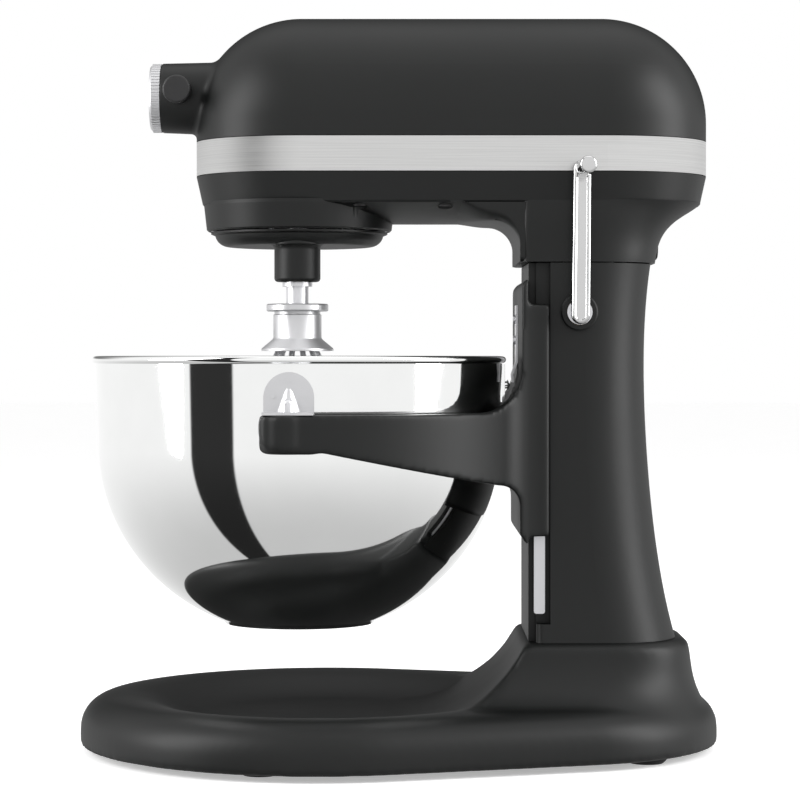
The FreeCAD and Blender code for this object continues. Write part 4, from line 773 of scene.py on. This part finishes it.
class MIXER_OT_stage(bpy.types.Operator):
    """Set the pale floor, the white room, the softboxes and the camera"""
    bl_idname = "mixer.stage"
    bl_label = "Studio"

    def execute(self, context):
        studio = context.scene.mixer_studio
        self.floor()
        self.room(context, studio)
        self.softbox("left_softbox", (0.62, -1.5, 0.75), (0.7, 1.5), studio.side_light)
        self.softbox("right_softbox", (0.5, 1.55, 0.75), (0.7, 1.5), studio.side_light)
        self.softbox("top_softbox", (0.1, 0.0, 1.9), (1.6, 1.6), studio.top_light)
        camera = bpy.data.cameras.new("camera")
        camera.lens = studio.lens
        camera.sensor_width = 36
        camera.clip_end = 50
        eye = bpy.data.objects.new("camera", camera)
        eye.location = studio.camera_place
        eye.rotation_euler = (math.pi / 2 - studio.camera_tilt, 0, math.pi / 2)
        context.scene.collection.objects.link(eye)
        context.scene.camera = eye
        context.scene.view_settings.view_transform = "Standard"
        return {"FINISHED"}

    def floor(self):
        bm = bmesh.new()
        bmesh.ops.create_circle(bm, cap_ends=True, segments=64, radius=12)
        mesh = bpy.data.meshes.new("floor")
        bm.to_mesh(mesh)
        bm.free()
        finish = Finish("pale_floor").set(Roughness=0.9, Specular_IOR_Level=0.1)
        finish.colour(finish.noise(scale=6, detail=2), (0.93, 0.93, 0.93), spread=0.01)
        seen = finish.tree.nodes.new("ShaderNodeLightPath").outputs["Is Camera Ray"]
        lift = finish.tree.nodes.new("ShaderNodeMath")
        lift.operation = "MULTIPLY"
        lift.inputs[1].default_value = FLOOR_LIFT
        finish.tree.links.new(seen, lift.inputs[0])
        finish.tree.links.new(lift.outputs[0], finish.shader.inputs["Emission Strength"])
        finish.set(Emission_Color=(1, 1, 1, 1))
        mesh.materials.append(finish.material)
        floor = bpy.data.objects.new("floor", mesh)
        floor.visible_glossy = False
        bpy.context.scene.collection.objects.link(floor)

    def softbox(self, name, place, size, brightness):
        lamp = bpy.data.lights.new(name, "AREA")
        lamp.shape = "RECTANGLE"
        lamp.size, lamp.size_y = size
        lamp.energy = math.pi * size[0] * size[1] * brightness
        box = bpy.data.objects.new(name, lamp)
        box.location = place
        box.rotation_euler = (LAMP_TARGET - Vector(place)).to_track_quat("-Z", "Z").to_euler()
        bpy.context.scene.collection.objects.link(box)
        # The brushed band shows no hot spot in the photo, so the lamps leave it to the room's light.
        unlit = bpy.data.collections.new(name + "_unlit")
        unlit.objects.link(NODES["trim_band"])
        unlit.collection_objects[0].light_linking.link_state = "EXCLUDE"
        box.light_linking.receiver_collection = unlit

    def room(self, context, studio):
        """White room: even light, and for mirrors white walls with a dark gap and dusk high up behind."""
        world = bpy.data.worlds.new("white_room")
        context.scene.world = world
        world.use_nodes = True
        tree = world.node_tree
        nodes, links = tree.nodes, tree.links
        nodes.clear()

        def math_node(kind, a, b):
            node = nodes.new("ShaderNodeMath")
            node.operation = kind
            for socket, value in zip(node.inputs, (a, b)):
                if isinstance(value, (int, float)):
                    socket.default_value = value
                else:
                    links.new(value, socket)
            return node.outputs[0]

        def step_up(value, at, soft):
            node = nodes.new("ShaderNodeMapRange")
            node.interpolation_type = "SMOOTHSTEP"
            node.inputs["From Min"].default_value = at - soft
            node.inputs["From Max"].default_value = at + soft
            links.new(value, node.inputs["Value"])
            return node.outputs["Result"]

        coords = nodes.new("ShaderNodeTexCoord")
        split = nodes.new("ShaderNodeSeparateXYZ")
        links.new(coords.outputs["Generated"], split.inputs[0])
        to_left = math_node("MULTIPLY", split.outputs["Y"], -1.0)
        heading = math_node("ARCTAN2", to_left, split.outputs["X"])
        soft = math.radians(0.8)
        gap_start = step_up(heading, studio.gap_from, soft)
        gap = math_node("SUBTRACT", gap_start, step_up(heading, studio.gap_to, soft))
        floor_white, wall_gain, gap_dark, dusk_dark = 0.6, 0.46, 0.97, 0.8
        rising = step_up(split.outputs["Z"], at=-0.35, soft=0.5)
        wall = math_node("ADD", math_node("MULTIPLY", rising, wall_gain), floor_white)
        behind = step_up(math_node("MULTIPLY", split.outputs["X"], -1.0), at=0.6, soft=0.3)
        dusk = math_node("MULTIPLY", behind, step_up(split.outputs["Z"], at=0.1, soft=0.07))
        shade = math_node(
            "MAXIMUM", math_node("MULTIPLY", gap, gap_dark), math_node("MULTIPLY", dusk, dusk_dark))
        lit = math_node("MULTIPLY", wall, math_node("SUBTRACT", 1.0, shade))
        path = nodes.new("ShaderNodeLightPath")
        seen = math_node("MULTIPLY", path.outputs["Is Camera Ray"], 1.0 - studio.world_light)
        even = math_node("ADD", seen, studio.world_light)
        level = nodes.new("ShaderNodeMix")
        level.data_type = "FLOAT"
        links.new(path.outputs["Is Glossy Ray"], level.inputs["Factor"])
        links.new(even, level.inputs["A"])
        links.new(lit, level.inputs["B"])
        background = nodes.new("ShaderNodeBackground")
        background.inputs["Color"].default_value = (1, 1, 1, 1)
        links.new(level.outputs["Result"], background.inputs["Strength"])
        out = nodes.new("ShaderNodeOutputWorld")
        links.new(background.outputs["Background"], out.inputs["Surface"])


class MIXER_PT_panel(bpy.types.Panel):
    """Sizes, finishes and build steps of the mixer"""
    bl_idname = "MIXER_PT_panel"
    bl_label = "Stand mixer"
    bl_space_type = "VIEW_3D"
    bl_region_type = "UI"
    bl_category = "Mixer"

    def draw(self, context):
        for group in (context.scene.mixer_finishes, context.scene.mixer_sizes, context.scene.mixer_studio):
            for name in group.__annotations__:
                self.layout.prop(group, name)
        for operator in OPERATORS:
            self.layout.operator(operator.bl_idname)


GROUPS = {"mixer_finishes": MixerFinishes, "mixer_sizes": MixerSizes, "mixer_studio": MixerStudio}
OPERATORS = (
    MIXER_OT_finishes, MIXER_OT_bowl, MIXER_OT_whisk_hub, MIXER_OT_lever, MIXER_OT_column_trim, MIXER_OT_yoke,
    MIXER_OT_head_top, MIXER_OT_throat, MIXER_OT_base_skin, MIXER_OT_stage)


def register():
    for name, group in GROUPS.items():
        bpy.utils.register_class(group)
        setattr(bpy.types.Scene, name, bpy.props.PointerProperty(type=group))
    for kind in OPERATORS + (MIXER_PT_panel,):
        bpy.utils.register_class(kind)


def unregister():
    for kind in reversed(OPERATORS + (MIXER_PT_panel,)):
        bpy.utils.unregister_class(kind)
    for name, group in GROUPS.items():
        delattr(bpy.types.Scene, name)
        bpy.utils.unregister_class(group)


def main():
    register()
    bpy.ops.mixer.finishes()
    bpy.ops.mixer.bowl()
    bpy.ops.mixer.whisk_hub()
    bpy.ops.mixer.lever()
    bpy.ops.mixer.column_trim()
    bpy.ops.mixer.yoke()
    bpy.ops.mixer.head_top()
    bpy.ops.mixer.throat()
    bpy.ops.mixer.base_skin()
    bpy.ops.mixer.stage()


if __name__ == "__main__":
    main()
